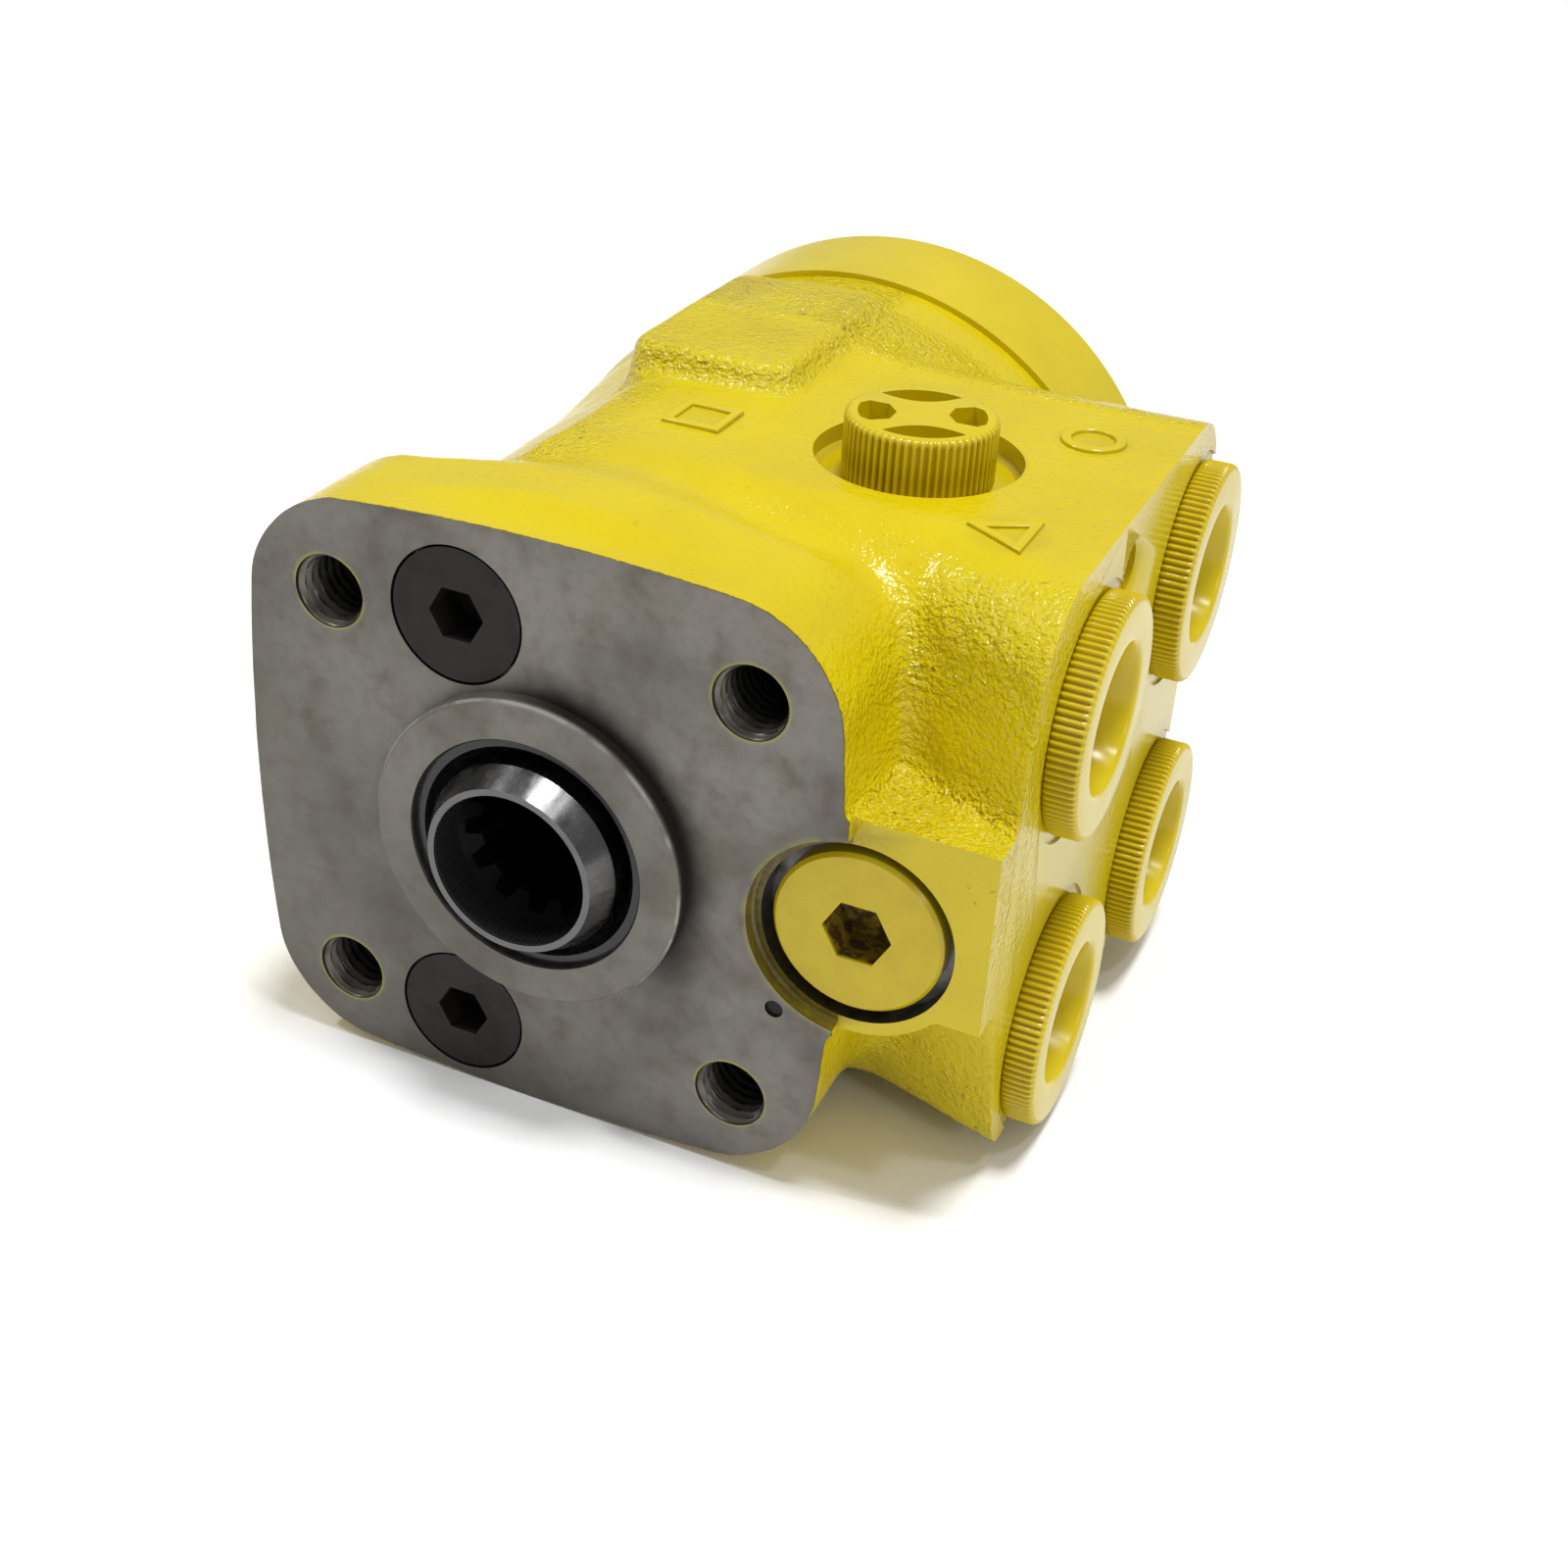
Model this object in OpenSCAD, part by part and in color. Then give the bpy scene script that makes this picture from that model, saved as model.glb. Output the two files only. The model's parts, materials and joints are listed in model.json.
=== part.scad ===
// Hydrostatic steering control unit: rotary valve, orbit gear set, shock and relief valves.
// Origin: shaft axis on the machined mounting face. +X ports side, +Y into the unit, +Z up.

/* [Mounting face] */
// Width and height of the mounting flange
flange_size = 84.5; // [82:0.5:88]
// Radius of the bow in each side of the flange
flange_bow_r = 290; // [250:10:400]
// Corner radius of the flange
flange_corner_r = 12; // [8:1:14]
// How far the flange sits above the shaft axis
flange_lift = 1.1; // [0:0.1:2]
// Thickness of the mounting flange
flange_depth = 20; // [16:1:24]
// Distance between neighbouring mounting holes
bolt_spacing = 58.34; // [57:0.01:60]
// Radius of the mounting holes, thread M10
bolt_r = 5; // [4:0.25:5.5]
// Depth of the mounting holes
bolt_depth = 16; // [12:1:18]
// Radius of the pilot boss
pilot_r = 22; // [20.5:0.5:24]
// Height of the pilot boss
pilot_h = 2.6; // [1.5:0.1:4]

/* [Casting] */
// Radius of the round body
body_r = 43; // [42.5:0.25:44]
// Radius of the collar that carries the gear set
collar_r = 46; // [45:0.5:47]
// Where the collar starts
collar_y = 84; // [82:1:86]
// Length of the casting
housing_len = 103; // [100:1:108]
// Distance from the shaft axis to the port face
port_face_x = 61; // [60:0.5:63]
// Height of the flat top above the shaft axis
top_z = 43.2; // [42:0.1:44]
// Depth of the underside of the port block below the shaft axis
block_bottom_z = -38; // [-42:0.5:-36]

/* [Ports] */
// Distance from the mounting face to the front ports
port_front_y = 32.5; // [31:0.5:34]
// Distance from the mounting face to the rear ports
port_rear_y = 81; // [78:0.5:82]
// Height of the upper ports
port_high_z = 21; // [20:0.5:22]
// Height of the lower ports
port_low_z = -25; // [-26:0.5:-24]
// Thread radius of the main ports, G 1/2
port_r = 10.3; // [9:0.1:10.5]
// Thread depth of the main ports
port_depth = 16; // [13:1:17]
// Thread radius of the load signal port, G 1/4
signal_r = 6.4; // [5:0.1:6.6]
// Distance from the mounting face to the load signal port
signal_y = 48.8; // [47:0.2:52]
// Sideways place of the load signal port
signal_x = 30.3; // [29:0.1:31]

/* [Port caps] */
// Outer radius of the main port caps
cap_r = 16; // [14:0.25:16.5]
// Thickness of the knurled rim of the main port caps
cap_rim = 4.5; // [3:0.25:6]
// Number of ribs on the main port caps
cap_ribs = 56; // [40:2:64]
// Outer radius of the signal port cap
signal_cap_r = 10.2; // [9:0.1:11]
// Height of the knurled part of the signal port cap
signal_cap_h = 9; // [6:0.5:11]

/* [Rotary valve] */
// Radius of the valve sleeve
sleeve_r = 19; // [18.9:0.05:19]
// Radius of the valve spool
spool_r = 14.5; // [14.4:0.05:14.6]
// Radius of the spool neck in the shaft seal
neck_r = 13.4; // [13:0.1:13.6]
// How far the spool stands out of the mounting face
spool_out = 6.5; // [5:0.5:8]
// Distance from the mounting face to the cross pin
pin_y = 46; // [44:1:50]
// Radius of the cross pin
pin_r = 4; // [3.5:0.25:4]
// Spool travel against the sleeve to each side, in degrees
spool_travel = 10; // [6:1:10]

/* [Gear set] */
// Outer radius of plate, gear ring and end cover
gear_or = 47.5; // [46.5:0.25:48]
// Thickness of the distributor plate
plate_t = 4; // [3:0.5:6]
// Width of the gear ring
ring_t = 10; // [8:1:20]
// Thickness of the end cover
cover_t = 9.5; // [8:0.5:12]
// Distance from the ring axis to its lobe centres
lobe_dist = 32; // [31.5:0.25:32.5]
// Radius of the lobes of the ring
lobe_r = 8; // [7.75:0.05:8.25]
// Eccentricity of the gear wheel
gear_ecc = 2.8; // [2.6:0.1:3]
// Distance from the axis to the cover screws
screw_dist = 37.5; // [37:0.25:39]

/* [Hidden] */
$fn = 96;
wheel_teeth = 6;
ring_lobes = wheel_teeth + 1;
fit_gap = 0.03;
mesh_gap = 0.08;
eps = 0.01;

plate_y = housing_len;
ring_y = plate_y + plate_t;
cover_y = ring_y + ring_t;
end_y = cover_y + cover_t;
lobe_step = 360 / ring_lobes;
// one lobe of the ring points up, so no screw stands at the top
gear_turn = 90;

// thrust bearing and rotary valve, front to rear
neck_bore_r = 16.4;
shoulder_y = 8.5;
race_t = 1;
needle_r = 1;
cage_y = shoulder_y + race_t;
inner_race_y = cage_y + 2 * needle_r;
sleeve_y = inner_race_y + race_t;
sleeve_end = housing_len - 0.3;
spool_end = housing_len - 2;
spring_y = 24;
spring_w = 6;
leaf_t = 0.4;
leaf_gap = 0.5;
leaf_len = 35.4;
ring_groove_r = 17.95;
socket_lead = 6;
socket_depth = 22;
socket_minor_r = 8.75;
socket_major_r = 10.2;
socket_teeth = 12;
socket_chamfer = 2.4;
tip_r = 11.7;
tip_cone = 3.6;
cavity_r = 12.2;
cavity_y = spring_y + 8;
cardan_gap = 0.3;
groove_ys = [33, 43.5, 57, 68, 79];
groove_w = 5;
groove_depth = 2.2;
hole_rows = [33, 57, 68, 79];
meter_row = 90;
spool_groove_w = 3;

// valves in the mounting face
shock_spots = [[-10.7, 30.4], [-11.3, -30.3]];
shock_head_r = 9;
shock_head_t = 3;
shock_thread_r = 8;
shock_thread_end = 11;
shock_bore_r = 6.5;
shock_end = 45;
shock_ball_r = 4;
shock_seat_y = 37;
shock_seat_r = 2.6;
shock_passage_y = 43;
adjuster_y = 14;
adjuster_t = 7;
relief_x = 44;
relief_face_y = 2;
relief_boss_r = 14;
relief_head_r = 11.3;
relief_head_t = 3.5;
relief_groove = 1.2;
relief_thread_r = 10.4;
relief_thread_end = 15;
relief_bore_r = 8;
relief_end = 60;
relief_seat_y = 50;
relief_adjuster_y = 19;
relief_adjuster_t = 8;
relief_poppet_y = 39;
ledge_z = 16.3;
boss_foot_z = -9.5;
hollow_depth = 18.5;
hollow_edge_y = 9;

port_ys = [port_front_y, port_rear_y];
port_zs = [port_high_z, port_low_z];
port_spot_r = 17.3;
port_spot_depth = 0.4;
port_floor_x = port_face_x - port_spot_depth;
signal_spot_r = 14;
signal_spot_depth = 3.2;
signal_floor_z = top_z - signal_spot_depth;
signal_depth = 12;
bracket_spot = [47.5, 34.8];
bracket_r = 3.4;
bracket_depth = 15;
channel_spot = [34.6, -13.4];
check_spot = [-17.4, -17.4];
check_bore_r = 4.3;
check_bush_r = 5;
check_ball_r = 3.9;
check_seat_y = 82;
check_bush_y = housing_len - 7;

screw_r = 4;
screw_tip_y = housing_len - 15;
washer_r = 6.8;
washer_t = 1;
screw_head_t = 4.5;
screw_head_r = 7.2;
seal_wire_r = 0.75;
seal_dist = 31.7;
seal_groove = 1.6;
seal_groove_w = 1.8;

// ---- shape helpers: rods, turned profiles and prisms along each axis ----

module rod_y(y, len, r) {
    translate([0, y, 0]) rotate([-90, 0, 0]) cylinder(h = len, r = r);
}

module rod_x(x, len, r) {
    translate([x, 0, 0]) rotate([0, 90, 0]) cylinder(h = len, r = r);
}

// profile points are [radius, y]
module turned_y(profile) {
    rotate([-90, 0, 0]) rotate_extrude() polygon(profile);
}

// profile points are [radius, x]
module turned_x(profile) {
    rotate([0, 90, 0]) rotate_extrude() polygon(profile);
}

module tube_y(y, len, inner, outer) {
    turned_y([[inner, y], [outer, y], [outer, y + len], [inner, y + len]]);
}

// outline in (x, z), solid from y to y + len
module prism_y(y, len) {
    translate([0, y + len, 0]) rotate([90, 0, 0]) linear_extrude(len) children();
}

// outline in (y, z), solid from x to x + len
module prism_x(x, len) {
    translate([x, 0, 0]) rotate([90, 0, 90]) linear_extrude(len) children();
}

module hex_socket_y(y, depth, across_flats) {
    prism_y(y, depth) circle(r = across_flats / sqrt(3), $fn = 6);
}

module at_xz(spot) {
    translate([spot[0], 0, spot[1]]) children();
}

module around_y(count, start = 0) {
    for (i = [0 : count - 1]) rotate([0, start + i * 360 / count, 0]) children();
}

module at_screws() {
    around_y(ring_lobes, lobe_step / 2 - gear_turn) translate([screw_dist, 0, 0]) children();
}

// helical compression spring along Y: rings of points swept round the helix
module coil_spring(y, len, mean_r, wire_r, turns) {
    sides = 6;
    steps = turns * 14;
    rise = (len - 2 * wire_r) / steps;
    points = [for (i = [0 : steps], k = [0 : sides - 1])
        let (a = i * 360 * turns / steps, t = k * 360 / sides, r = mean_r + wire_r * cos(t))
        [r * cos(a), y + wire_r + i * rise + wire_r * sin(t), r * sin(a)]];
    skin = [for (i = [0 : steps - 1], k = [0 : sides - 1])
        let (a = i * sides + k, b = i * sides + (k + 1) % sides)
        [a, b, b + sides, a + sides]];
    caps = [[for (k = [0 : sides - 1]) sides - 1 - k], [for (k = [0 : sides - 1]) steps * sides + k]];
    polyhedron(points, concat(skin, caps), convexity = 8);
}

// ---- casting ----

module flange_outline() {
    reach = flange_bow_r - flange_size / 2;
    translate([0, flange_lift]) offset(r = flange_corner_r) offset(delta = -flange_corner_r)
        intersection_for(i = [0 : 3])
            rotate(i * 90) translate([-reach, 0]) circle(r = flange_bow_r, $fn = 360);
}

module block_outline() {
    hull() {
        translate([12, 18]) circle(r = 2);
        translate([20.5, top_z - 10]) circle(r = 10);
        translate([78, top_z - 14]) circle(r = 14);
        translate([86, block_bottom_z + 6]) circle(r = 6);
        translate([19, block_bottom_z + 3]) circle(r = 3);
        translate([10, -8]) circle(r = 2);
    }
}

// hollow between the flange's side and the port face, above the valve boss
module front_hollow() {
    inner_x = flange_size / 2;
    translate([0, 0, ledge_z]) linear_extrude(top_z)
        polygon([[inner_x, -1], [inner_x, hollow_depth], [port_face_x, hollow_edge_y],
            [port_face_x + 1, hollow_edge_y], [port_face_x + 1, -1]]);
}

module valve_boss_outline() {
    translate([relief_x, 0]) circle(r = relief_boss_r + 0.4);
    translate([relief_x - 12, boss_foot_z]) square([port_face_x - relief_x + 12, ledge_z - boss_foot_z]);
}

module pad_outline() {
    offset(r = 4) offset(delta = -4) translate([-18, 59]) square([24, 37]);
}

// generic raised marks beside the ports: ring, arrow and bar
module port_marks() {
    mark_h = 0.5;
    translate([49, 66, top_z]) difference() {
        cylinder(h = mark_h, r = 4);
        cylinder(h = mark_h, r = 2.6);
    }
    translate([49, 31, top_z]) cylinder(h = mark_h, r = 4, $fn = 3);
    translate([1, 44, top_z]) difference() {
        translate([-3.5, -3.5, 0]) cube([7, 7, mark_h]);
        translate([-2, -2, 0]) cube([4, 4, mark_h]);
    }
}

module casting() {
    prism_y(0, flange_depth) flange_outline();
    rod_y(flange_depth - 6, collar_y - flange_depth + 8, body_r);
    rod_y(collar_y, housing_len - collar_y, collar_r);
    turned_y([[0, collar_y - 4], [body_r, collar_y - 4], [collar_r, collar_y + eps], [0, collar_y + eps]]);
    difference() {
        prism_x(0, port_face_x) block_outline();
        front_hollow();
    }
    prism_y(relief_face_y, 20) valve_boss_outline();
    translate([0, 0, top_z - 20]) linear_extrude(23.8) pad_outline();
    rod_y(-pilot_h, pilot_h + 5, pilot_r);
    port_marks();
}

module valve_bore() {
    rod_y(-pilot_h - eps, shoulder_y + pilot_h + eps, neck_bore_r);
    rod_y(shoulder_y, housing_len - shoulder_y + eps, sleeve_r);
    for (y = groove_ys) rod_y(y - groove_w / 2, groove_w, sleeve_r + groove_depth);
}

module mounting_holes() {
    for (x = [-1, 1], z = [-1, 1]) at_xz([x * bolt_spacing / 2, z * bolt_spacing / 2]) {
        rod_y(-eps, bolt_depth + eps, bolt_r);
        turned_y([[0, -eps], [bolt_r + 0.5, -eps], [bolt_r - eps, 0.5], [0, 0.5]]);
    }
}

module shock_bores() {
    for (spot = shock_spots) at_xz(spot) {
        rod_y(-eps, shock_head_t + eps, shock_head_r + 0.35);
        rod_y(shock_head_t - eps, shock_thread_end - shock_head_t + 1, shock_thread_r);
        rod_y(shock_thread_end, shock_end - shock_thread_end, shock_bore_r);
    }
    for (spot = shock_spots) drill_towards_axis(spot, shock_passage_y, 1.8);
}

// drilled passage from a point (x, z) at depth y to the valve bore
module drill_towards_axis(spot, y, r) {
    far = norm(spot);
    bearing = atan2(spot[1], spot[0]);
    translate([0, y, 0]) rotate([0, -bearing, 0]) rod_x(sleeve_r - 2, far - sleeve_r + 2, r);
}

module relief_bore() {
    at_xz([relief_x, 0]) {
        rod_y(-eps, relief_face_y + eps, relief_boss_r);
        rod_y(0, relief_face_y + relief_head_t, relief_head_r + relief_groove);
        rod_y(0, relief_thread_end + 1, relief_thread_r);
        rod_y(0, relief_end, relief_bore_r);
    }
    drill_towards_axis([relief_x, 0], relief_end - 4, 2.5);
}

module port_bores() {
    for (y = port_ys, z = port_zs) {
        translate([0, y, z]) {
            rod_x(port_floor_x, 2, port_spot_r);
            rod_x(port_floor_x - port_depth, port_depth + 1, port_r);
            rod_x(port_floor_x - port_depth - 4, 5, 6);
        }
        drill_towards_axis([port_floor_x - port_depth - 2, z], y, 4.2);
    }
    translate([signal_x, signal_y, 0]) {
        translate([0, 0, signal_floor_z]) cylinder(h = 5, r = signal_spot_r);
        translate([0, 0, signal_floor_z - signal_depth]) cylinder(h = signal_depth + 1, r = signal_r);
    }
    drill_towards_axis([signal_x, signal_floor_z - signal_depth], signal_y, 1.8);
    translate([0, bracket_spot[0], bracket_spot[1]])
        rod_x(port_face_x - bracket_depth, bracket_depth + 1, bracket_r);
}

// The ring groove that holds a face seal, cut from y towards +Y.
module seal_ring_groove(y) {
    tube_y(y, seal_groove + 1, seal_dist - seal_groove_w / 2, seal_dist + seal_groove_w / 2);
}

module rear_holes() {
    at_screws() rod_y(screw_tip_y - 2, housing_len - screw_tip_y + 3, screw_r);
    at_xz(check_spot) {
        rod_y(check_seat_y, housing_len - check_seat_y + 1, check_bore_r);
        rod_y(check_seat_y - 12, 13, 2.5);
        rod_y(check_bush_y, housing_len - check_bush_y + 1, check_bush_r);
    }
    seal_ring_groove(housing_len - seal_groove);
}

module housing() {
    color("gold") difference() {
        casting();
        valve_bore();
        mounting_holes();
        shock_bores();
        relief_bore();
        port_bores();
        rear_holes();
        at_xz(channel_spot) rod_y(-eps, 6, 1.2);
    }
}

module channel_plug() {
    color("dimgray") at_xz(channel_spot) rod_y(0.4, 4, 1.2);
}

// ---- seals and thrust bearing at the shaft end ----

module dust_seal() {
    color("black") turned_y([[neck_bore_r, -1.6], [neck_bore_r, 3], [neck_r + 1.2, 3],
        [neck_r + fit_gap, 1.5], [neck_r + fit_gap, 0.7], [neck_r + 1.2, -0.6], [neck_bore_r - 1.2, -1.6]]);
}

module shaft_seal() {
    color("dimgray") difference() {
        tube_y(4, 3.5, neck_r + fit_gap, neck_bore_r);
        tube_y(5, 1.5, neck_r + 1.6, neck_r + 2);
    }
}

module outer_race() {
    color("lightgray") tube_y(shoulder_y, race_t, neck_r + 0.8, sleeve_r - 0.1);
}

module inner_race() {
    color("lightgray") tube_y(inner_race_y, race_t, neck_r + 0.8, sleeve_r - 0.1);
}

module needle_cage() {
    color("darkkhaki") difference() {
        tube_y(cage_y + 0.3, 2 * needle_r - 0.6, neck_r + 0.9, sleeve_r - 0.3);
        around_y(18) translate([neck_r + 1.7, cage_y + needle_r, 0]) rod_x(0, 3, needle_r);
    }
    color("silver") around_y(18)
        translate([neck_r + 1.75, cage_y + needle_r, 0]) rod_x(0, 2.9, needle_r - fit_gap);
}

// ---- rotary valve ----

module sleeve() {
    color("silver") difference() {
        tube_y(sleeve_y, sleeve_end - sleeve_y, spool_r, sleeve_r - fit_gap);
        translate([0, pin_y, 0]) rod_x(-sleeve_r - 1, 2 * sleeve_r + 2, pin_r);
        for (side = [-1, 1]) translate([-spring_half(), spring_y - spring_w / 2 - 0.1, side * 16 - 4])
            cube([2 * spring_half(), spring_w + 0.2, 8]);
        tube_y(spring_y - 3.5, 7, ring_groove_r, sleeve_r + 1);
        for (y = hole_rows) translate([0, y, 0]) around_y(6, 30) rod_x(spool_r - 1, 6, 1.6);
        translate([0, meter_row, 0]) around_y(12) rod_x(spool_r - 1, 6, 1.4);
    }
}

// half the width of the sleeve's slot, which the pack of leaf springs fills
function spring_half() = leaf_gap + 3 * leaf_t + fit_gap;

module spring_ring() {
    color("gray") tube_y(spring_y - 3.4, 6.8, ring_groove_r, sleeve_r - 0.2);
}

module cross_pin() {
    color("lightgray") translate([0, pin_y, 0]) turned_x([[0, -18.6], [pin_r - 0.5, -18.6], [pin_r, -18.1],
        [pin_r, 18.1], [pin_r - 0.5, 18.6], [0, 18.6]]);
}

// two sets of three leaves, their ends held in the sleeve and their middles in the spool
module centring_springs() {
    color("steelblue") for (side = [0, 180], k = [0 : 2])
        rotate([0, side, 0]) translate([leaf_gap + k * leaf_t, spring_y - spring_w / 2, -leaf_len / 2])
            cube([leaf_t, spring_w, leaf_len]);
}

// slot that lets a bar of half-width h swing by the spool's travel, seen along the shaft
module bow_tie(h) {
    waist = h / cos(spool_travel);
    mouth = waist + sleeve_r * tan(spool_travel);
    polygon([[-sleeve_r, -mouth], [0, -waist], [sleeve_r, -mouth], [sleeve_r, mouth], [0, waist],
        [-sleeve_r, mouth]]);
}

module spline_outline() {
    circle(r = socket_minor_r);
    intersection() {
        circle(r = socket_major_r);
        for (i = [0 : socket_teeth - 1]) rotate(i * 360 / socket_teeth) polygon([[4, -1.5],
            [socket_minor_r, -1.5], [socket_major_r + 1, -0.7], [socket_major_r + 1, 0.7],
            [socket_minor_r, 1.5], [4, 1.5]]);
    }
}

module spool() {
    pin_slot = pin_r + 0.1;
    spring_slot = spring_w + 0.4;
    color("lightsteelblue") difference() {
        turned_y([[0, -spool_out], [tip_r, -spool_out], [neck_r, -spool_out + tip_cone],
            [neck_r, sleeve_y + 0.4], [spool_r - fit_gap, sleeve_y + 1.5],
            [spool_r - fit_gap, spool_end], [0, spool_end]]);
        prism_y(-spool_out - 1, socket_depth) spline_outline();
        turned_y([[0, -spool_out - 1], [tip_r - 0.9, -spool_out - 1], [tip_r - 0.9, socket_lead - spool_out],
            [socket_minor_r - 0.2, socket_lead - spool_out + socket_chamfer],
            [0, socket_lead - spool_out + socket_chamfer]]);
        rod_y(cavity_y, spool_end - cavity_y + 1, cavity_r);
        prism_y(pin_y - pin_slot, 2 * pin_slot) bow_tie(pin_slot);
        prism_y(spring_y - spring_slot / 2, spring_slot) rotate(90) bow_tie(spring_half() + 0.1);
        around_y(6, 30) translate([spool_r - 0.9, hole_rows[1] + 5, -spool_groove_w / 2])
            cube([3, meter_row + 4 - hole_rows[1] - 5, spool_groove_w]);
    }
}

// ---- drive shaft and orbit gear set ----

function cardan_tilt() = atan(gear_ecc / (ring_y + ring_t / 2 - pin_y));

module cardan_shaft() {
    head_len = 8;
    len = cover_y - 3 - pin_y;
    color("slategray") translate([0, pin_y, 0]) rotate([-cardan_tilt(), 0, 0]) difference() {
        union() {
            turned_y([[0, -7], [9.5, -7], [10.9, -5], [10.9, 7], [6.5, 11], [6.5, len - head_len - 4],
                [8.2, len - head_len - 1], [8.2, len], [0, len]]);
            around_y(socket_teeth) translate([8.1, 0, 0]) rod_y(len - head_len, head_len, 1.3);
        }
        translate([-12, -8, -pin_r - cardan_gap]) cube([24, 8 + pin_r + 0.9, 2 * (pin_r + cardan_gap)]);
    }
}

module spacer() {
    color("silver") at_xz([0, -gear_ecc]) rod_y(cover_y - 2.3, 2.2, 7);
}

// outline of the wheel: the path of a lobe centre seen from the wheel, moved inwards by a lobe radius
function lobe_path(a) = [lobe_dist * cos(a) + gear_ecc * cos(ring_lobes * a),
    lobe_dist * sin(a) + gear_ecc * sin(ring_lobes * a)];
function lobe_heading(a) = [-lobe_dist * sin(a) - ring_lobes * gear_ecc * sin(ring_lobes * a),
    lobe_dist * cos(a) + ring_lobes * gear_ecc * cos(ring_lobes * a)];
function wheel_point(a) = let (c = lobe_path(a), h = lobe_heading(a))
    c + (lobe_r + mesh_gap) * [-h[1], h[0]] / norm(h);

module gear_wheel() {
    steps = wheel_teeth * 64;
    color("lightgray") at_xz([0, -gear_ecc]) prism_y(ring_y + fit_gap, ring_t - 2 * fit_gap) difference() {
        rotate(gear_turn) polygon([for (i = [0 : steps - 1]) wheel_point(i * 360 / steps)]);
        circle(r = 8.9);
        for (i = [0 : socket_teeth - 1]) rotate(i * 360 / socket_teeth) translate([8.1, 0]) circle(r = 2);
    }
}

module gear_ring() {
    color("gold") difference() {
        rod_y(ring_y, ring_t, gear_or);
        prism_y(ring_y - 1, ring_t + 2) difference() {
            circle(r = lobe_dist - 2);
            for (i = [0 : ring_lobes - 1]) rotate(gear_turn + i * lobe_step)
                translate([lobe_dist, 0]) circle(r = lobe_r);
        }
        at_screws() rod_y(ring_y - 1, ring_t + 2, screw_r + 0.2);
    }
}

module distributor_plate() {
    color("gold") difference() {
        rod_y(plate_y, plate_t, gear_or);
        rod_y(plate_y - 1, plate_t + 2, cavity_r + 0.6);
        at_screws() rod_y(plate_y - 1, plate_t + 2, screw_r + 0.2);
        around_y(ring_lobes, lobe_step / 2 - gear_turn) translate([25.5, 0, 0])
            rod_y(plate_y - 1, plate_t + 2, 2.2);
        seal_ring_groove(plate_y + plate_t - seal_groove);
    }
}

module end_cover() {
    color("gold") difference() {
        turned_y([[0, cover_y], [gear_or, cover_y], [gear_or, end_y - 1.5],
            [gear_or - 1.5, end_y], [0, end_y]]);
        at_screws() rod_y(cover_y - 1, cover_t + 2, screw_r + 0.2);
        seal_ring_groove(cover_y - 1);
    }
}

module seal_wire(y) {
    rotate([-90, 0, 0]) rotate_extrude() translate([seal_dist, y]) circle(r = seal_wire_r);
}

module face_seals() {
    color("black") {
        seal_wire(plate_y - seal_wire_r - 0.04);
        seal_wire(ring_y - seal_wire_r - 0.04);
        seal_wire(cover_y + seal_wire_r + 0.04);
    }
}

module cover_screws() {
    head_y = end_y + washer_t;
    color("gold") at_screws() {
        rod_y(screw_tip_y, head_y - screw_tip_y, screw_r);
        intersection() {
            prism_y(head_y, screw_head_t) circle(r = screw_head_r, $fn = 6);
            turned_y([[0, head_y], [screw_head_r, head_y], [screw_head_r, head_y + screw_head_t - 1],
                [screw_head_r - 1.2, head_y + screw_head_t], [0, head_y + screw_head_t]]);
        }
    }
}

module cover_washers() {
    color("gold") at_screws() tube_y(end_y, washer_t, screw_r + 0.2, washer_r);
}

// ---- check valve in the rear face ----

module check_ball() {
    color("silver") at_xz(check_spot)
        translate([0, check_seat_y + check_ball_r + 0.05, 0]) sphere(r = check_ball_r);
}

module check_bushing() {
    color("gray") at_xz(check_spot) difference() {
        rod_y(check_bush_y, housing_len - check_bush_y - 0.2, check_bush_r);
        hex_socket_y(check_bush_y - 1, housing_len - check_bush_y + 2, 5);
    }
}

// ---- shock valves behind the two plugs in the mounting face ----

module shock_plug(spot) {
    color("dimgray") at_xz(spot) difference() {
        turned_y([[0, 0.1], [shock_head_r, 0.1], [shock_head_r, shock_head_t],
            [shock_thread_r, shock_head_t], [shock_thread_r, shock_thread_end],
            [0, shock_thread_end]]);
        hex_socket_y(-1, 7, 6.7);
        tube_y(shock_head_t + 0.3, 1.7, shock_thread_r - 1.5, shock_thread_r + 1);
    }
}

module shock_plug_seals() {
    color("black") for (spot = shock_spots) at_xz(spot) rotate([-90, 0, 0]) rotate_extrude()
        translate([shock_thread_r - 0.75, shock_head_t + 1.15]) circle(r = 0.7);
}

module shock_adjuster(spot) {
    color("darkgray") at_xz(spot) difference() {
        rod_y(adjuster_y, adjuster_t, shock_bore_r);
        hex_socket_y(adjuster_y - 1, 4, 5);
    }
}

// centre of a ball that rests on the rim of its seat
function seated(seat_y, ball_r, seat_r) = seat_y - sqrt(ball_r * ball_r - seat_r * seat_r) - 0.05;

module shock_spring(spot) {
    y = adjuster_y + adjuster_t;
    ball_y = seated(shock_seat_y, shock_ball_r, shock_seat_r);
    color("lightgray") at_xz(spot) coil_spring(y, ball_y - 0.8 * shock_ball_r - y, 3.4, 0.6, 5);
}

module shock_ball(spot) {
    ball_y = seated(shock_seat_y, shock_ball_r, shock_seat_r);
    color("silver") at_xz(spot) translate([0, ball_y, 0]) sphere(r = shock_ball_r);
}

module shock_seats() {
    color("gray") for (spot = shock_spots) at_xz(spot) tube_y(shock_seat_y, 4, shock_seat_r, shock_bore_r);
}

// ---- relief valve in the boss beside the flange ----

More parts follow.
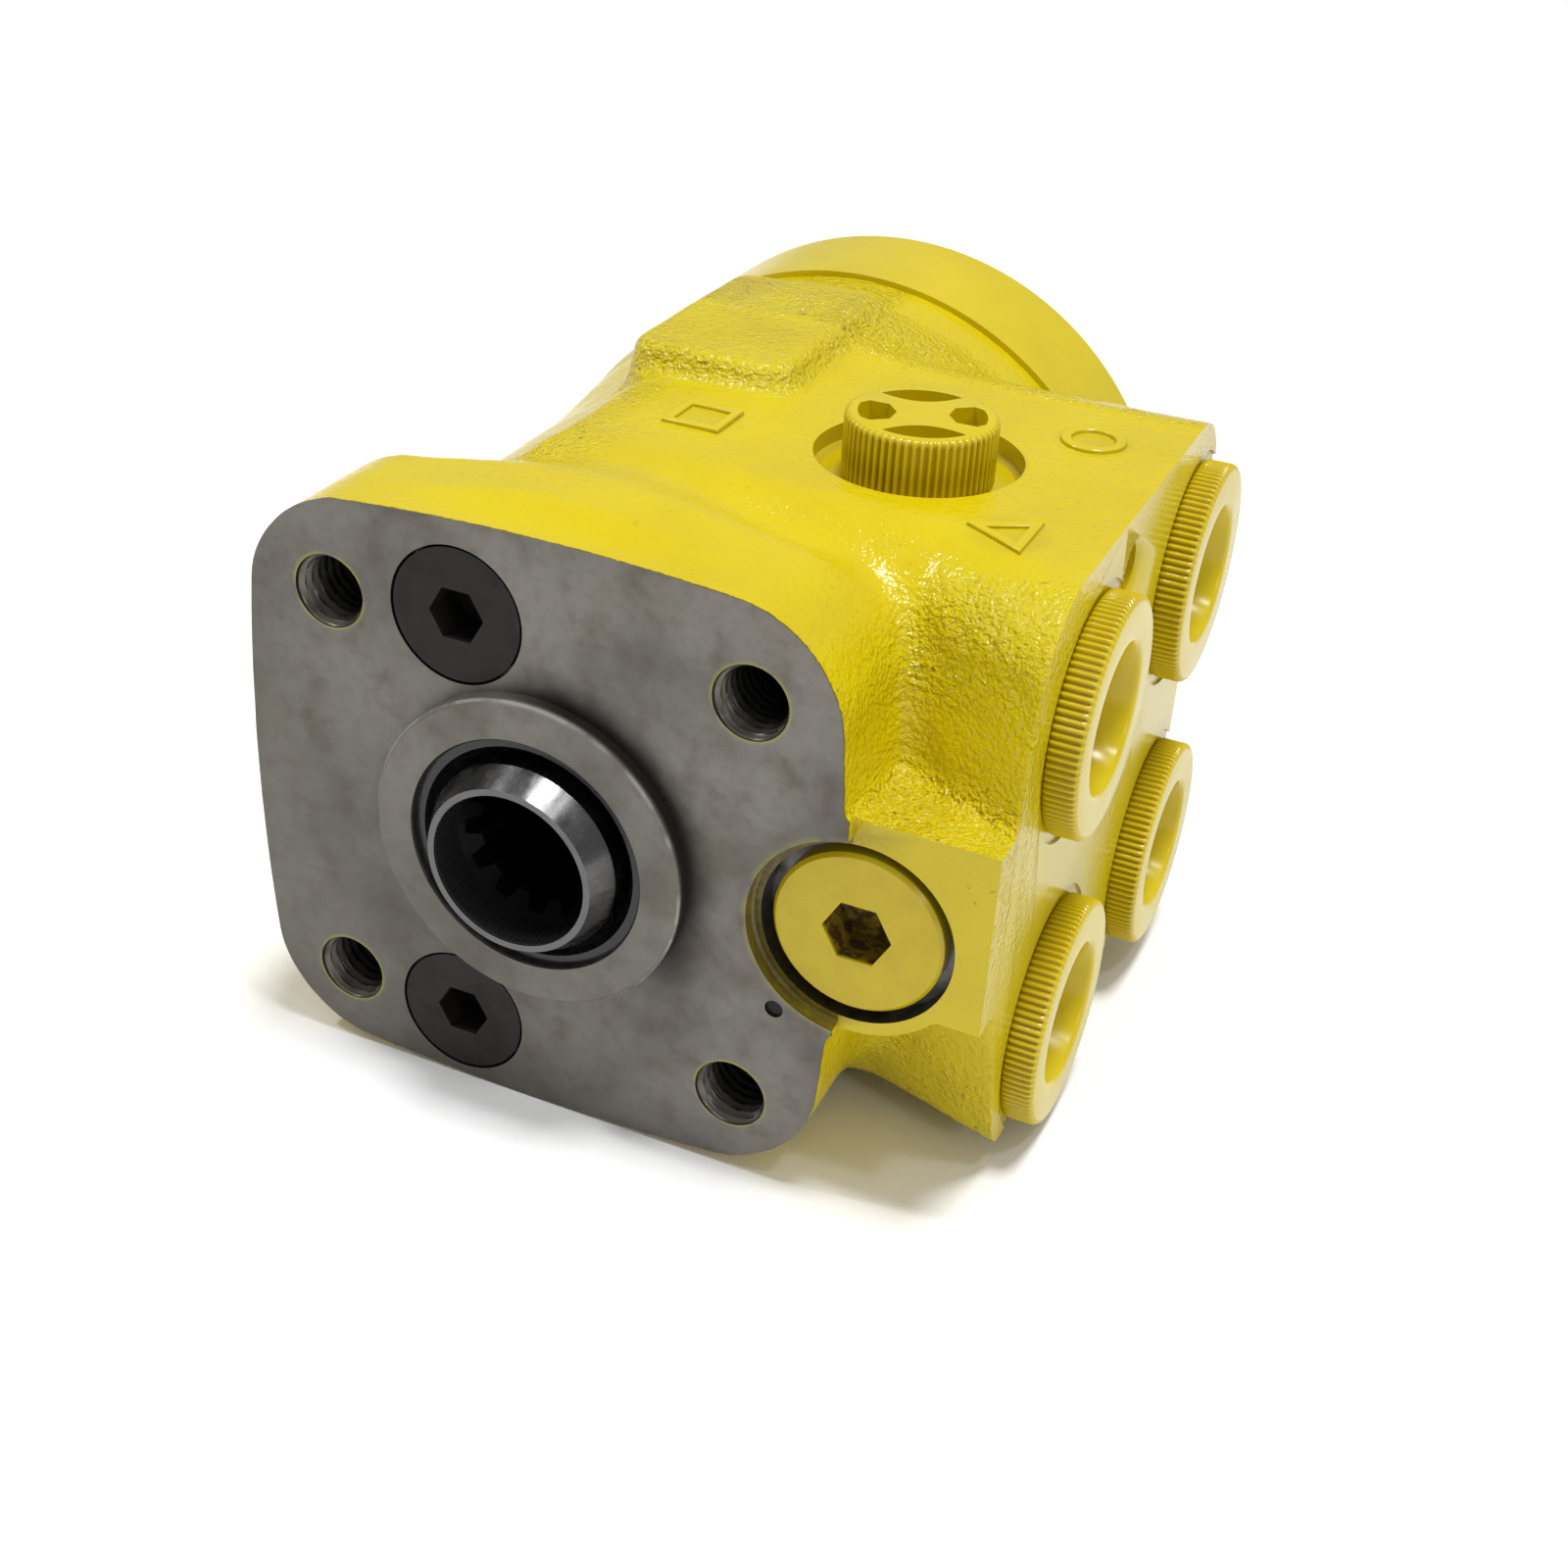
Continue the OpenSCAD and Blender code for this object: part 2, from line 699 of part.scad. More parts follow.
module relief_plug() {
    head_end = relief_face_y + relief_head_t;
    color("gold") at_xz([relief_x, 0]) difference() {
        turned_y([[0, relief_face_y], [relief_head_r - 0.5, relief_face_y],
            [relief_head_r, relief_face_y + 0.5], [relief_head_r, head_end],
            [relief_thread_r, head_end], [relief_thread_r, relief_thread_end],
            [0, relief_thread_end]]);
        hex_socket_y(relief_face_y - 1, 7, 8);
        tube_y(head_end + 0.3, 2.4, relief_thread_r - 1.9, relief_thread_r + 1);
    }
}

module relief_plug_seal() {
    color("black") at_xz([relief_x, 0]) rotate([-90, 0, 0]) rotate_extrude()
        translate([relief_thread_r - 0.95, relief_face_y + relief_head_t + 1.5]) circle(r = 0.9);
}

module relief_adjuster() {
    color("darkgray") at_xz([relief_x, 0]) difference() {
        rod_y(relief_adjuster_y, relief_adjuster_t, relief_bore_r);
        hex_socket_y(relief_adjuster_y - 1, 5, 6);
    }
}

module relief_spring() {
    y = relief_adjuster_y + relief_adjuster_t;
    color("lightgray") at_xz([relief_x, 0]) coil_spring(y, relief_poppet_y - y, 5, 0.75, 5);
}

module relief_poppet() {
    skirt_r = relief_bore_r - fit_gap;
    skirt_end = relief_poppet_y + 6;
    color("silver") at_xz([relief_x, 0]) turned_y([[0, relief_poppet_y], [skirt_r, relief_poppet_y],
        [skirt_r, skirt_end], [4.4, skirt_end], [3, relief_seat_y - 0.1], [0, relief_seat_y + 2]]);
}

module relief_seat() {
    color("gray") at_xz([relief_x, 0]) tube_y(relief_seat_y, 5, 3.2, relief_bore_r);
}

// ---- plastic port caps ----

// knurled outline: two points out and two points in for each rib
module knurl(r, depth, ribs) {
    polygon([for (i = [0 : ribs - 1], k = [0 : 3])
        let (a = (i + [-0.3, -0.15, 0.15, 0.3][k]) * 360 / ribs, d = (k == 1 || k == 2) ? 0 : depth)
        (r - d) * [cos(a), sin(a)]]);
}

module port_cap(y, z) {
    base = port_floor_x;
    inner_r = 8.2;
    color("yellow") translate([0, y, z]) difference() {
        union() {
            translate([base, 0, 0]) rotate([0, 90, 0])
                linear_extrude(cap_rim - 1) knurl(cap_r, 0.4, cap_ribs);
            turned_x([[0, base], [cap_r - 0.5, base], [cap_r - 0.5, base + cap_rim - 0.8],
                [cap_r - 1.6, base + cap_rim], [0, base + cap_rim]]);
            turned_x([[0, base - 11], [port_r - 0.8, base - 11], [port_r - fit_gap, base - 10],
                [port_r - fit_gap, base + eps], [0, base + eps]]);
        }
        turned_x([[0, base - 9], [inner_r, base - 9], [inner_r, base + 1.5],
            [inner_r + 1.6, base + cap_rim + eps], [0, base + cap_rim + eps]]);
    }
}

module cap_signal() {
    base = signal_floor_z;
    web = 1.6;
    color("yellow") translate([signal_x, signal_y, 0]) difference() {
        union() {
            translate([0, 0, base]) linear_extrude(signal_cap_h - 0.6) knurl(signal_cap_r, 0.3, 60);
            translate([0, 0, base]) cylinder(h = signal_cap_h, r = signal_cap_r - 0.6);
            translate([0, 0, base - 8]) cylinder(h = 9, r = signal_r - fit_gap);
        }
        translate([0, 0, base + signal_cap_h - 4]) intersection() {
            cylinder(h = 5, r = signal_cap_r - 2.1);
            for (i = [0 : 3]) rotate(i * 90 + 22) translate([web, web, 0]) rotate(45)
                translate([2.6, 0, 0]) cube([9, 9, 10], center = true);
            difference() {
                cylinder(h = 5, r = signal_cap_r);
                for (a = [22, 112]) rotate(a) cube([30, 2 * web, 11], center = true);
                cylinder(h = 11, r = 3.2, center = true);
            }
        }
    }
}

housing();
dust_seal();
shaft_seal();
outer_race();
needle_cage();
inner_race();
sleeve();
spring_ring();
cross_pin();
spool();
centring_springs();
cardan_shaft();
spacer();
gear_wheel();
gear_ring();
distributor_plate();
face_seals();
end_cover();
cover_screws();
cover_washers();
check_ball();
check_bushing();
channel_plug();
shock_plug(shock_spots[0]);  // upper_shock_plug
shock_plug(shock_spots[1]);  // lower_shock_plug
shock_adjuster(shock_spots[0]);  // upper_shock_adjuster
shock_adjuster(shock_spots[1]);  // lower_shock_adjuster
shock_spring(shock_spots[0]);  // upper_shock_spring
shock_spring(shock_spots[1]);  // lower_shock_spring
shock_ball(shock_spots[0]);  // upper_shock_ball
shock_ball(shock_spots[1]);  // lower_shock_ball
shock_plug_seals();
shock_seats();
relief_plug();
relief_plug_seal();
relief_adjuster();
relief_spring();
relief_poppet();
relief_seat();
port_cap(port_front_y, port_high_z);  // cap_front_high
port_cap(port_rear_y, port_high_z);  // cap_rear_high
port_cap(port_front_y, port_low_z);  // cap_front_low
port_cap(port_rear_y, port_low_z);  // cap_rear_low
cap_signal();
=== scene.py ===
import bmesh
import bpy
import json
import math
import numpy as np
from mathutils import Matrix, Vector


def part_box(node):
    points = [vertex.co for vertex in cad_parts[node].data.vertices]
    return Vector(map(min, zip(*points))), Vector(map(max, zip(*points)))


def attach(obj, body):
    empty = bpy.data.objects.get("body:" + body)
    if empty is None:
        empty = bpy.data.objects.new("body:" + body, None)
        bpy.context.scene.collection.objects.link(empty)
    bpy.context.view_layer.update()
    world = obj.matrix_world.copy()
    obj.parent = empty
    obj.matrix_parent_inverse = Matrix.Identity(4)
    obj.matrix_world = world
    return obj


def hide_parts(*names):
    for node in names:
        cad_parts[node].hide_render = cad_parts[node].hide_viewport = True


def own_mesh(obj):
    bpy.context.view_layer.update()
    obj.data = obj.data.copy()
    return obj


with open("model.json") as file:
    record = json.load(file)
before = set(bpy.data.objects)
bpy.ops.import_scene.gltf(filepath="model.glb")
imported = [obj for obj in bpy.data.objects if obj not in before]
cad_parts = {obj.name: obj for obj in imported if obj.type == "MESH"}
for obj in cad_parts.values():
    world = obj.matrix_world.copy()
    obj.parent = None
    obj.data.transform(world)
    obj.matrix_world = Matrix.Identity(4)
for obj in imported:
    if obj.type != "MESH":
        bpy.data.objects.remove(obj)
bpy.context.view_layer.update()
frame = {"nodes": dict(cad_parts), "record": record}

# Shapes are worked out in millimetres, in the frame's axes: -Y is the mounting face, +X the port face.
mm = 0.001
mounts = {m["name"]: m for m in frame["record"]["mounts"]}
print("frame loaded:", len(frame["nodes"]), "nodes")


def mountPlace(name):
    return np.array(mounts[name]["pos_m"]) / mm


def cadCentre(node):
    low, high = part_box(node)
    return (np.array(low) + np.array(high)) / 2 / mm


# places that several pieces share
relief = cadCentre("relief_plug")
holeHalf = mounts["mounting_holes"]["dims"]["spacing_x_mm"] / 2   # half the way between two mounting holes


# One output socket of a node. Sums and products of fields add Math nodes.
class Field:
    def __init__(self, shader, socket):
        self.shader, self.socket = shader, socket

    def maths(self, operation, *terms):
        return self.shader.node("ShaderNodeMath", {"operation": operation}, dict(enumerate(terms)))

    def __add__(self, other): return self.maths("ADD", self, other)
    def __radd__(self, other): return self.maths("ADD", other, self)
    def __sub__(self, other): return self.maths("SUBTRACT", self, other)
    def __rsub__(self, other): return self.maths("SUBTRACT", other, self)
    def __mul__(self, other): return self.maths("MULTIPLY", self, other)
    def __rmul__(self, other): return self.maths("MULTIPLY", other, self)
    def __pow__(self, other): return self.maths("POWER", self, other)
    def __abs__(self): return self.maths("ABSOLUTE", self)
    def most(self, other): return self.maths("MAXIMUM", self, other)

    # 0 below low, 1 above high, a smooth step between; low above high turns it round
    def step(self, low, high):
        falling = low > high
        ends = (high, low) if falling else (low, high)
        values = {0: self, 1: ends[0], 2: ends[1], 3: 1.0 if falling else 0.0, 4: 0.0 if falling else 1.0}
        return self.shader.node("ShaderNodeMapRange", {"interpolation_type": "SMOOTHSTEP"}, values)


# One material on a Principled surface. Sockets that are the same all over are set when it is made.
class Shader:
    def __init__(self, name, **surface):
        self.material = bpy.data.materials.new(name)
        self.material.use_nodes = True
        self.tree = self.material.node_tree
        self.surface = next(n for n in self.tree.nodes if n.type == "BSDF_PRINCIPLED")
        for socket, value in surface.items():
            self.surface.inputs[socket.replace("_", " ")].default_value = value
        self.place = self.node("ShaderNodeTexCoord", {}, {}, "Object")

    # the one way to add a node: its type, its settings, then the values or links of its sockets
    def node(self, kind, settings, inputs, output=0):
        node = self.tree.nodes.new(kind)
        for setting, value in settings.items():
            setattr(node, setting, value)
        for socket, value in inputs.items():
            if isinstance(value, Field):
                self.tree.links.new(value.socket, node.inputs[socket])
            elif isinstance(value, tuple) and len(node.inputs[socket].default_value) == 4:
                node.inputs[socket].default_value = (*value, 1)
            else:
                node.inputs[socket].default_value = value
        return Field(self, node.outputs[output])

    def axes(self):
        return [self.node("ShaderNodeSeparateXYZ", {}, {0: self.place}, i) for i in range(3)]

    # noise whose grains are about size millimetres across
    def noise(self, size, detail=2.0, rough=0.5, vector=None):
        inputs = {"Vector": vector or self.place, "Scale": 1 / (size * mm), "Detail": detail, "Roughness": rough}
        return self.node("ShaderNodeTexNoise", {}, inputs)

    # the place, pulled out along an axis whose scale is small
    def stretched(self, scale):
        return self.node("ShaderNodeMapping", {}, {"Vector": self.place, "Scale": scale})

    def mix(self, factor, first, second):
        inputs = {"Factor": factor, 6: first, 7: second}
        return self.node("ShaderNodeMix", {"data_type": "RGBA"}, inputs, 2)

    def attribute(self, name):
        return self.node("ShaderNodeAttribute", {"attribute_name": name}, {}, "Fac")

    def bump(self, height, depth, strength=1.0):
        inputs = {"Height": height, "Distance": depth * mm, "Strength": strength}
        self.feed("Normal", self.node("ShaderNodeBump", {}, inputs))

    def feed(self, socket, field):
        self.tree.links.new(field.socket, self.surface.inputs[socket])


paint = {
    "bright": (0.62, 0.49, 0.002),   # lemon yellow where the coat is full
    "thin": (0.53, 0.39, 0.002),     # where it runs thin or gathers dust
    "groove": (0.38, 0.25, 0.004),   # painted shade between the ribs of the caps; it also dulls the relief plug's coat
    "shaded": (0.13, 0.095, 0.012),  # painted shade on the wall of the recess for the relief plug, a dull brown-yellow
    "rust": (0.085, 0.046, 0.014),   # in the hexagon of the relief plug
    "grimeAndShade": (0.075, 0.052, 0.010),  # dark specks in the pores, the line at the bare face, darker spots round the marks, and painted shade on the ledge in the relief plug's recess
    "rough": 0.20,                   # the coat, which is duller in clouds and glossier on rough skin
    "cloudRough": 0.08, "castGloss": 0.14,
    "thinShare": 0.45, "poreShare": 0.75, "flatPores": 0.06, "toneChange": 0.2,
    # how far across the patterns are, in millimetres
    "cloud": 16, "dullCloud": 22, "grain": 1.3, "fine": 0.65, "peel": 2.6, "pit": 1.0, "pitCloud": 9,
    "toneCloud": 3.0, "speck": 0.9, "lineRag": 0.7,
    # the dark line at the bare face: its depths in millimetres, and how far it wanders
    "lineFrom": 0.15, "lineTo": 0.45, "lineWander": 0.5, "lineShare": 0.9,
}
hexagon = {"reach": 5.4, "fade": 0.5, "wander": 0.6, "rag": 1.2, "scraps": 1.6, "start": 0.2, "full": 0.7}


# Gloss enamel. castDepth is the height of the rough casting that shows through it, in millimetres.
# The points of a piece say how rough its skin is, where it is darkened by grime and painted shade, and how
# deep in a groove, which the paint darkens as painted shade. A tone is one of the paint's colours and the share of
# it that dulls the coat; on the wall of the relief plug's recess it is painted shade. faceDepth is given for a
# plug whose hexagon is rusted through, with scraps of paint left on it.
def paintMaterial(name, castDepth, tone=None, faceDepth=None):
    s = Shader(name, Roughness=paint["rough"], IOR=1.5, Specular_IOR_Level=0.42)
    x, y, z = s.axes()
    castness, grimeAndShadeMark, groove = (s.attribute(a) for a in ("roughCast", "grimeAndShade", "groove"))
    cloud = s.noise(paint["cloud"], 3)
    grain = s.noise(paint["grain"], 2, 0.6)
    fine = s.noise(paint["fine"], 1)
    peel = s.noise(paint["peel"], 1)
    pits = s.noise(paint["pit"], 1).step(0.66, 0.74) * s.noise(paint["pitCloud"], 2).step(0.46, 0.60)
    ragged = y + (s.noise(paint["lineRag"], 2) - 0.5) * (paint["lineWander"] * mm)
    shade = s.mix(cloud.step(0.35, 0.75) * paint["thinShare"], paint["bright"], paint["thin"])
    # painted shade in the grooves of the knurls
    shade = s.mix(groove, shade, paint["groove"])
    # a tone dulls the coat; the tone of the recess wall is painted shade
    if tone is not None:
        colour, share = tone
        clouds = s.noise(paint["toneCloud"], 2).step(0.3, 0.7)
        shade = s.mix(clouds * paint["toneChange"] + share, shade, paint[colour])
    specks = s.noise(paint["speck"], 2).step(0.40, 0.60)
    # dark specks in the pores, darker spots round the marks, painted shade on the recess ledge, and the dark line
    # at the bare face
    poreGrimeAndShade = (pits * (castness * paint["poreShare"] + paint["flatPores"])).most(grimeAndShadeMark * (0.75 + specks * 0.25))
    poreGrimeAndShade = poreGrimeAndShade.most(ragged.step(paint["lineTo"] * mm, paint["lineFrom"] * mm) * paint["lineShare"])
    if faceDepth is not None:
        u, v = x - float(relief[0]) * mm, z - float(relief[2]) * mm
        reach = (u * u + v * v) ** 0.5 + (s.noise(hexagon["rag"], 2) - 0.5) * (hexagon["wander"] * mm)
        socket = reach.step(hexagon["reach"] * mm, (hexagon["reach"] - hexagon["fade"]) * mm)
        socket = socket * y.step((faceDepth + hexagon["start"]) * mm, (faceDepth + hexagon["full"]) * mm)
        scraps = s.noise(hexagon["scraps"], 2).step(0.40, 0.56)
        shade = s.mix(socket * (0.6 + scraps * 0.4), shade, paint["rust"])
        poreGrimeAndShade = poreGrimeAndShade * y.step(0.2 * mm, 0.2001 * mm)   # no dark line on the plug's own face
    s.feed("Base Color", s.mix(poreGrimeAndShade, shade, paint["grimeAndShade"]))
    dull = s.noise(paint["dullCloud"], 2).step(0.4, 0.7) * paint["cloudRough"]
    s.feed("Roughness", paint["rough"] + dull - castness * paint["castGloss"])
    s.bump((grain * 0.65 + fine * 0.35) * castness + peel * 0.035, castDepth)
    return s.material


bareIron = {
    "light": (0.200, 0.186, 0.166),
    "stain": (0.088, 0.080, 0.068),
    "rust": (0.120, 0.082, 0.048),
    "darkPatch": (0.022, 0.019, 0.016),    # dark over the pilot's side and the face just outside it, at its upper right
    "green": (0.150, 0.150, 0.095),
    "burrAndHighlight": (0.32, 0.31, 0.29),      # the pilot's front edge, worn bright, with a painted highlight on it
    "spray": (0.30, 0.29, 0.03),     # overspray of the yellow on bare iron
    "metallic": 0.55, "rough": 0.38, "bump": 0.025,
    # how far across the patterns are, in millimetres
    "stains": 24, "blots": 6, "greens": 15, "mottle": 1.8, "scratches": 1.0, "turning": 0.30, "fine": 0.35,
    "sprayClouds": 3.2, "darkPatchRag": 5, "darkPatchWander": 3.0, "burrHighlightClouds": 4,
    # the dark patch fades out between these reaches, and overspray between these
    "darkPatchReach": (27.5, 22.5), "holeSpray": (5.6, 4.8), "biteSpray": (15.0, 13.9), "burrHighlightReach": (21.55, 21.85),
}


# Ground iron of the mounting face: stains, fine scratches, a turned pilot ring, a dark patch beside it, and
# overspray round holes and edges. The pilot's front edge is worn bright and carries a painted highlight.
def bareMaterial(name):
    c = bareIron
    s = Shader(name, Metallic=0.5, Roughness=0.5)
    x, y, z = s.axes()
    fades = {key: [end * mm for end in c[key]] for key in ("darkPatchReach", "holeSpray", "biteSpray", "burrHighlightReach")}
    reach = (x * x + z * z) ** 0.5
    stains = s.noise(c["stains"], 4, 0.6).step(0.36, 0.70)
    blots = s.noise(c["blots"], 3, 0.6).step(0.50, 0.78)
    scratches = s.noise(c["scratches"], 3, 0.7, s.stretched((1.0, 1.0, 0.06)))
    turning = s.noise(c["turning"], 2, 0.6, s.node("ShaderNodeCombineXYZ", {}, {0: reach, 1: 0.0, 2: 0.0}))
    fine = s.noise(c["fine"], 2, 0.7)
    pilot = y.step(-1.2 * mm, -2.0 * mm)
    ragged = reach + (s.noise(c["darkPatchRag"], 2) - 0.5) * (c["darkPatchWander"] * mm)
    # darker and glossier over the pilot's side and the face just outside it, at its upper right
    darkPatchMask = ragged.step(*fades["darkPatchReach"]) * (x + z * 0.5).step(4 * mm, 16 * mm) * (1 - pilot)
    mottle = s.noise(c["mottle"], 3, 0.7).step(0.42, 0.66)
    shade = s.mix(stains * 0.75, c["light"], c["stain"])
    shade = s.mix(blots * 0.55, shade, c["rust"])
    shade = s.mix(s.noise(c["greens"], 3, 0.6).step(0.52, 0.72) * 0.35, shade, c["green"])
    shade = s.mix(mottle * 0.22, shade, c["stain"])
    shade = s.mix((x + z).step(30 * mm, -50 * mm) * 0.45, shade, c["stain"])   # darker towards the lower left
    shade = s.mix(pilot * 0.12, shade, c["light"])
    shade = s.mix(darkPatchMask * 0.95, shade, c["darkPatch"])
    # painted highlight with wear: the pilot's front edge at the chamfer is lightened in clouds
    edge = reach.step(*fades["burrHighlightReach"]) * y.step(-1.6 * mm, -2.1 * mm)
    shade = s.mix(edge * s.noise(c["burrHighlightClouds"], 2).step(0.35, 0.6) * 0.8, shade, c["burrAndHighlight"])
    across, upright = abs(x) - holeHalf * mm, abs(z) - holeHalf * mm
    holeReach = (across * across + upright * upright) ** 0.5
    biteX, biteZ = x - float(relief[0]) * mm, z - float(relief[2]) * mm
    biteReach = (biteX * biteX + biteZ * biteZ) ** 0.5
    spray = holeReach.step(*fades["holeSpray"]).most(biteReach.step(*fades["biteSpray"]) * 0.5)
    sprayed = spray * s.noise(c["sprayClouds"], 2).step(0.30, 0.55) * 0.95
    s.feed("Base Color", s.mix(sprayed, shade, c["spray"]))
    s.feed("Metallic", c["metallic"] - spray * 0.5)
    s.feed("Roughness", c["rough"] + stains * 0.14 + fine * 0.12 - darkPatchMask * 0.10)
    s.bump(scratches * 0.5 * (1 - pilot) + turning * 0.6 * pilot + fine * 0.4, c["bump"], 0.7)
    return s.material


# painted shade deep in bores: the depths between which a bore is painted near black, and the radius that the
# darkness keeps inside of
shaftBoreShade = {"radius": 10.95, "from": -6.45, "to": -5.9, "colour": (0.004, 0.004, 0.004), "dull": 1.0}
threadBoreShade = {"from": 0.4, "to": 6.0, "colour": (0.010, 0.009, 0.008), "dull": 0.5}
metals = {
    "boreSteel": {"colour": (0.16, 0.15, 0.14), "dark": (0.05, 0.045, 0.04), "rough": 0.38},
    "threadSteel": {"colour": (0.15, 0.138, 0.120), "dark": (0.05, 0.043, 0.035), "rough": 0.36, "metallic": 0.9,
        "bore": threadBoreShade, "gloss": 0.2},
    "spoolSteel": {"colour": (0.135, 0.134, 0.136), "dark": (0.09, 0.09, 0.092), "rough": 0.22,
        "bore": shaftBoreShade, "gloss": 0.06, "patches": 0.25},
    "brightSteel": {"colour": (0.50, 0.50, 0.50), "dark": (0.24, 0.23, 0.22), "rough": 0.26},
    "plugSteel": {"colour": (0.017, 0.014, 0.013), "dark": (0.009, 0.007, 0.007), "rough": 0.36, "metallic": 0.10,
        "gloss": 0.18},
    "bronze": {"colour": (0.50, 0.34, 0.13), "dark": (0.22, 0.14, 0.06), "rough": 0.40},
}


# Metals that are turned, ground or blackened; oil darkens patches. Deep in a bore the colour falls to near black,
# as painted shade.
def metalMaterial(name, colour, dark, rough, metallic=1.0, bore=None, gloss=0.5, patches=0.7):
    s = Shader(name, Metallic=metallic, Roughness=rough, Specular_IOR_Level=gloss)
    lines = s.noise(0.5, 2, 0.6, s.stretched((1.0, 0.05, 1.0)))
    darkPatch = s.noise(5, 3, 0.6).step(0.42, 0.70)
    shade = s.mix(darkPatch * patches, colour, dark)
    # painted shade: past the given depth the bore is painted near black and loses its metal sheen
    if bore is not None:
        x, y, z = s.axes()
        shadedDepth = y.step(bore["from"] * mm, bore["to"] * mm)
        if "radius" in bore:
            radius = (x * x + z * z) ** 0.5
            shadedDepth = shadedDepth * radius.step(bore["radius"] * mm, (bore["radius"] - 0.2) * mm)
        shade = s.mix(shadedDepth, shade, bore["colour"])
        s.feed("Metallic", metallic - shadedDepth * bore["dull"])
    s.feed("Base Color", shade)
    s.feed("Roughness", rough + (lines - 0.5) * 0.25 + darkPatch * 0.12)
    s.bump(lines, 0.006, 0.35)
    return s.material


rubber = {"clean": (0.006, 0.006, 0.007), "dusty": (0.025, 0.024, 0.023), "rough": 0.26}
spring = {"blue": (0.20, 0.21, 0.24), "straw": (0.33, 0.30, 0.26), "rough": 0.30}


def rubberMaterial(name):
    s = Shader(name, Roughness=0.30, IOR=1.5)
    dust = s.noise(3, 3).step(0.55, 0.80)
    s.feed("Base Color", s.mix(dust * 0.4, rubber["clean"], rubber["dusty"]))
    s.feed("Roughness", rubber["rough"] + dust * 0.25)
    s.bump(s.noise(1.6, 1), 0.01, 0.25)
    return s.material


def springMaterial(name):
    s = Shader(name, Metallic=1.0, Roughness=0.34)
    heat = s.noise(4, 2).step(0.35, 0.7)
    s.feed("Base Color", s.mix(heat, spring["blue"], spring["straw"]))
    s.feed("Roughness", spring["rough"] + heat * 0.15)
    s.bump(s.noise(0.25, 2), 0.01, 0.5)
    return s.material


castPaint = paintMaterial("castPaint", 1.9)
flatPaint = paintMaterial("flatPaint", 0.5)
capPaint = paintMaterial("capPaint", 0.35)
plugPaint = paintMaterial("plugPaint", 0.5, ("groove", 0.22), faceDepth=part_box("relief_plug")[0][1] / mm)
# painted shade: the wall of the relief plug's recess is dulled towards a dark brown-yellow
biteShadeePaint = paintMaterial("biteShadeePaint", 0.5, ("shaded", 0.7))
faceIron = bareMaterial("faceIron")
boreSteel, threadSteel, spoolSteel, brightSteel, plugSteel, bronze = (
    metalMaterial(name, **metal) for name, metal in metals.items())
springSteel = springMaterial("springSteel")
blackRubber = rubberMaterial("blackRubber")
print("materials made")


# quads between neighbouring points of a rows x cols grid, joined round where it is closed
def gridFaces(rows, cols, closedRows=False, closedCols=False):
    row, col = np.meshgrid(np.arange(rows - (not closedRows)), np.arange(cols - (not closedCols)), indexing="ij")
    nextRow, nextCol = (row + 1) % rows, (col + 1) % cols
    corners = [row * cols + col, nextRow * cols + col, nextRow * cols + nextCol, row * cols + nextCol]
    return np.stack(corners, -1).reshape(-1, 4)


# A (radius, along) profile carried round an axis through centre: radius times cosine and sine of the
# angle across the axis, along on it. radii may be a rows x angles table for ribs and teeth.
def turnedPoints(radii, along, centre, axis, around):
    angle = np.arange(around) * 2 * math.pi / around
    radii = np.broadcast_to(np.asarray(radii, float).reshape(len(along), -1), (len(along), around))
    along = np.broadcast_to(np.asarray(along, float)[:, None], radii.shape)
    u, v = radii * np.cos(angle), radii * np.sin(angle)
    parts = {"x": (along, u, v), "y": (v, along, u), "z": (u, v, along)}[axis]
    return np.stack(parts, -1).reshape(-1, 3) + np.asarray(centre, float)


def turned(profile, centre=(0, 0, 0), axis="y", around=96, closed=False):
    radii, along = np.array(profile, float).T
    points = turnedPoints(radii, along, centre, axis, around)
    return points, gridFaces(len(along), around, closed, True)


# eight corners of a block, each the low or the high end of every axis
def box(low, high):
    corner = np.array([[(i >> 2) & 1, (i >> 1) & 1, i & 1] for i in range(8)])
    points = np.where(corner == 1, high, low).astype(float)
    return points, np.array([[0, 1, 3, 2], [4, 6, 7, 5], [0, 4, 5, 1], [2, 3, 7, 6], [0, 2, 6, 4], [1, 5, 7, 3]])


def joined(*shapes):
    starts = np.cumsum([0] + [len(points) for points, faces in shapes])
    points = np.concatenate([points for points, faces in shapes])
    return points, np.concatenate([faces + start for (_, faces), start in zip(shapes, starts)])


# a number for every point of a mesh, which the materials read by its name
def addMark(mesh, name, values):
    mark = mesh.attributes.new(name, "FLOAT", "POINT")
    mark.data.foreach_set("value", np.ravel(values).astype(np.float32))


def newObject(name, shape, material, weld=True, marks=None):
    points, faces = shape
    mesh = bpy.data.meshes.new(name)
    mesh.from_pydata((points * mm).tolist(), [], faces.tolist())
    for mark, values in (marks or {}).items():
        addMark(mesh, mark, values)
    if weld:
        bm = bmesh.new()
        bm.from_mesh(mesh)
        bmesh.ops.remove_doubles(bm, verts=bm.verts, dist=1e-6)
        bmesh.ops.dissolve_degenerate(bm, edges=bm.edges, dist=1e-7)
        bmesh.ops.recalc_face_normals(bm, faces=bm.faces)
        bm.to_mesh(mesh)
        bm.free()
    mesh.materials.append(material)
    obj = bpy.data.objects.new(name, mesh)
    bpy.context.scene.collection.objects.link(obj)
    return obj


# sharp is the angle in degrees above which an edge stays crisp
def finishPiece(obj, body, sharp):
    obj.data.shade_smooth()
    obj.data.set_sharp_from_angle(angle=math.radians(sharp))
    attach(obj, body)


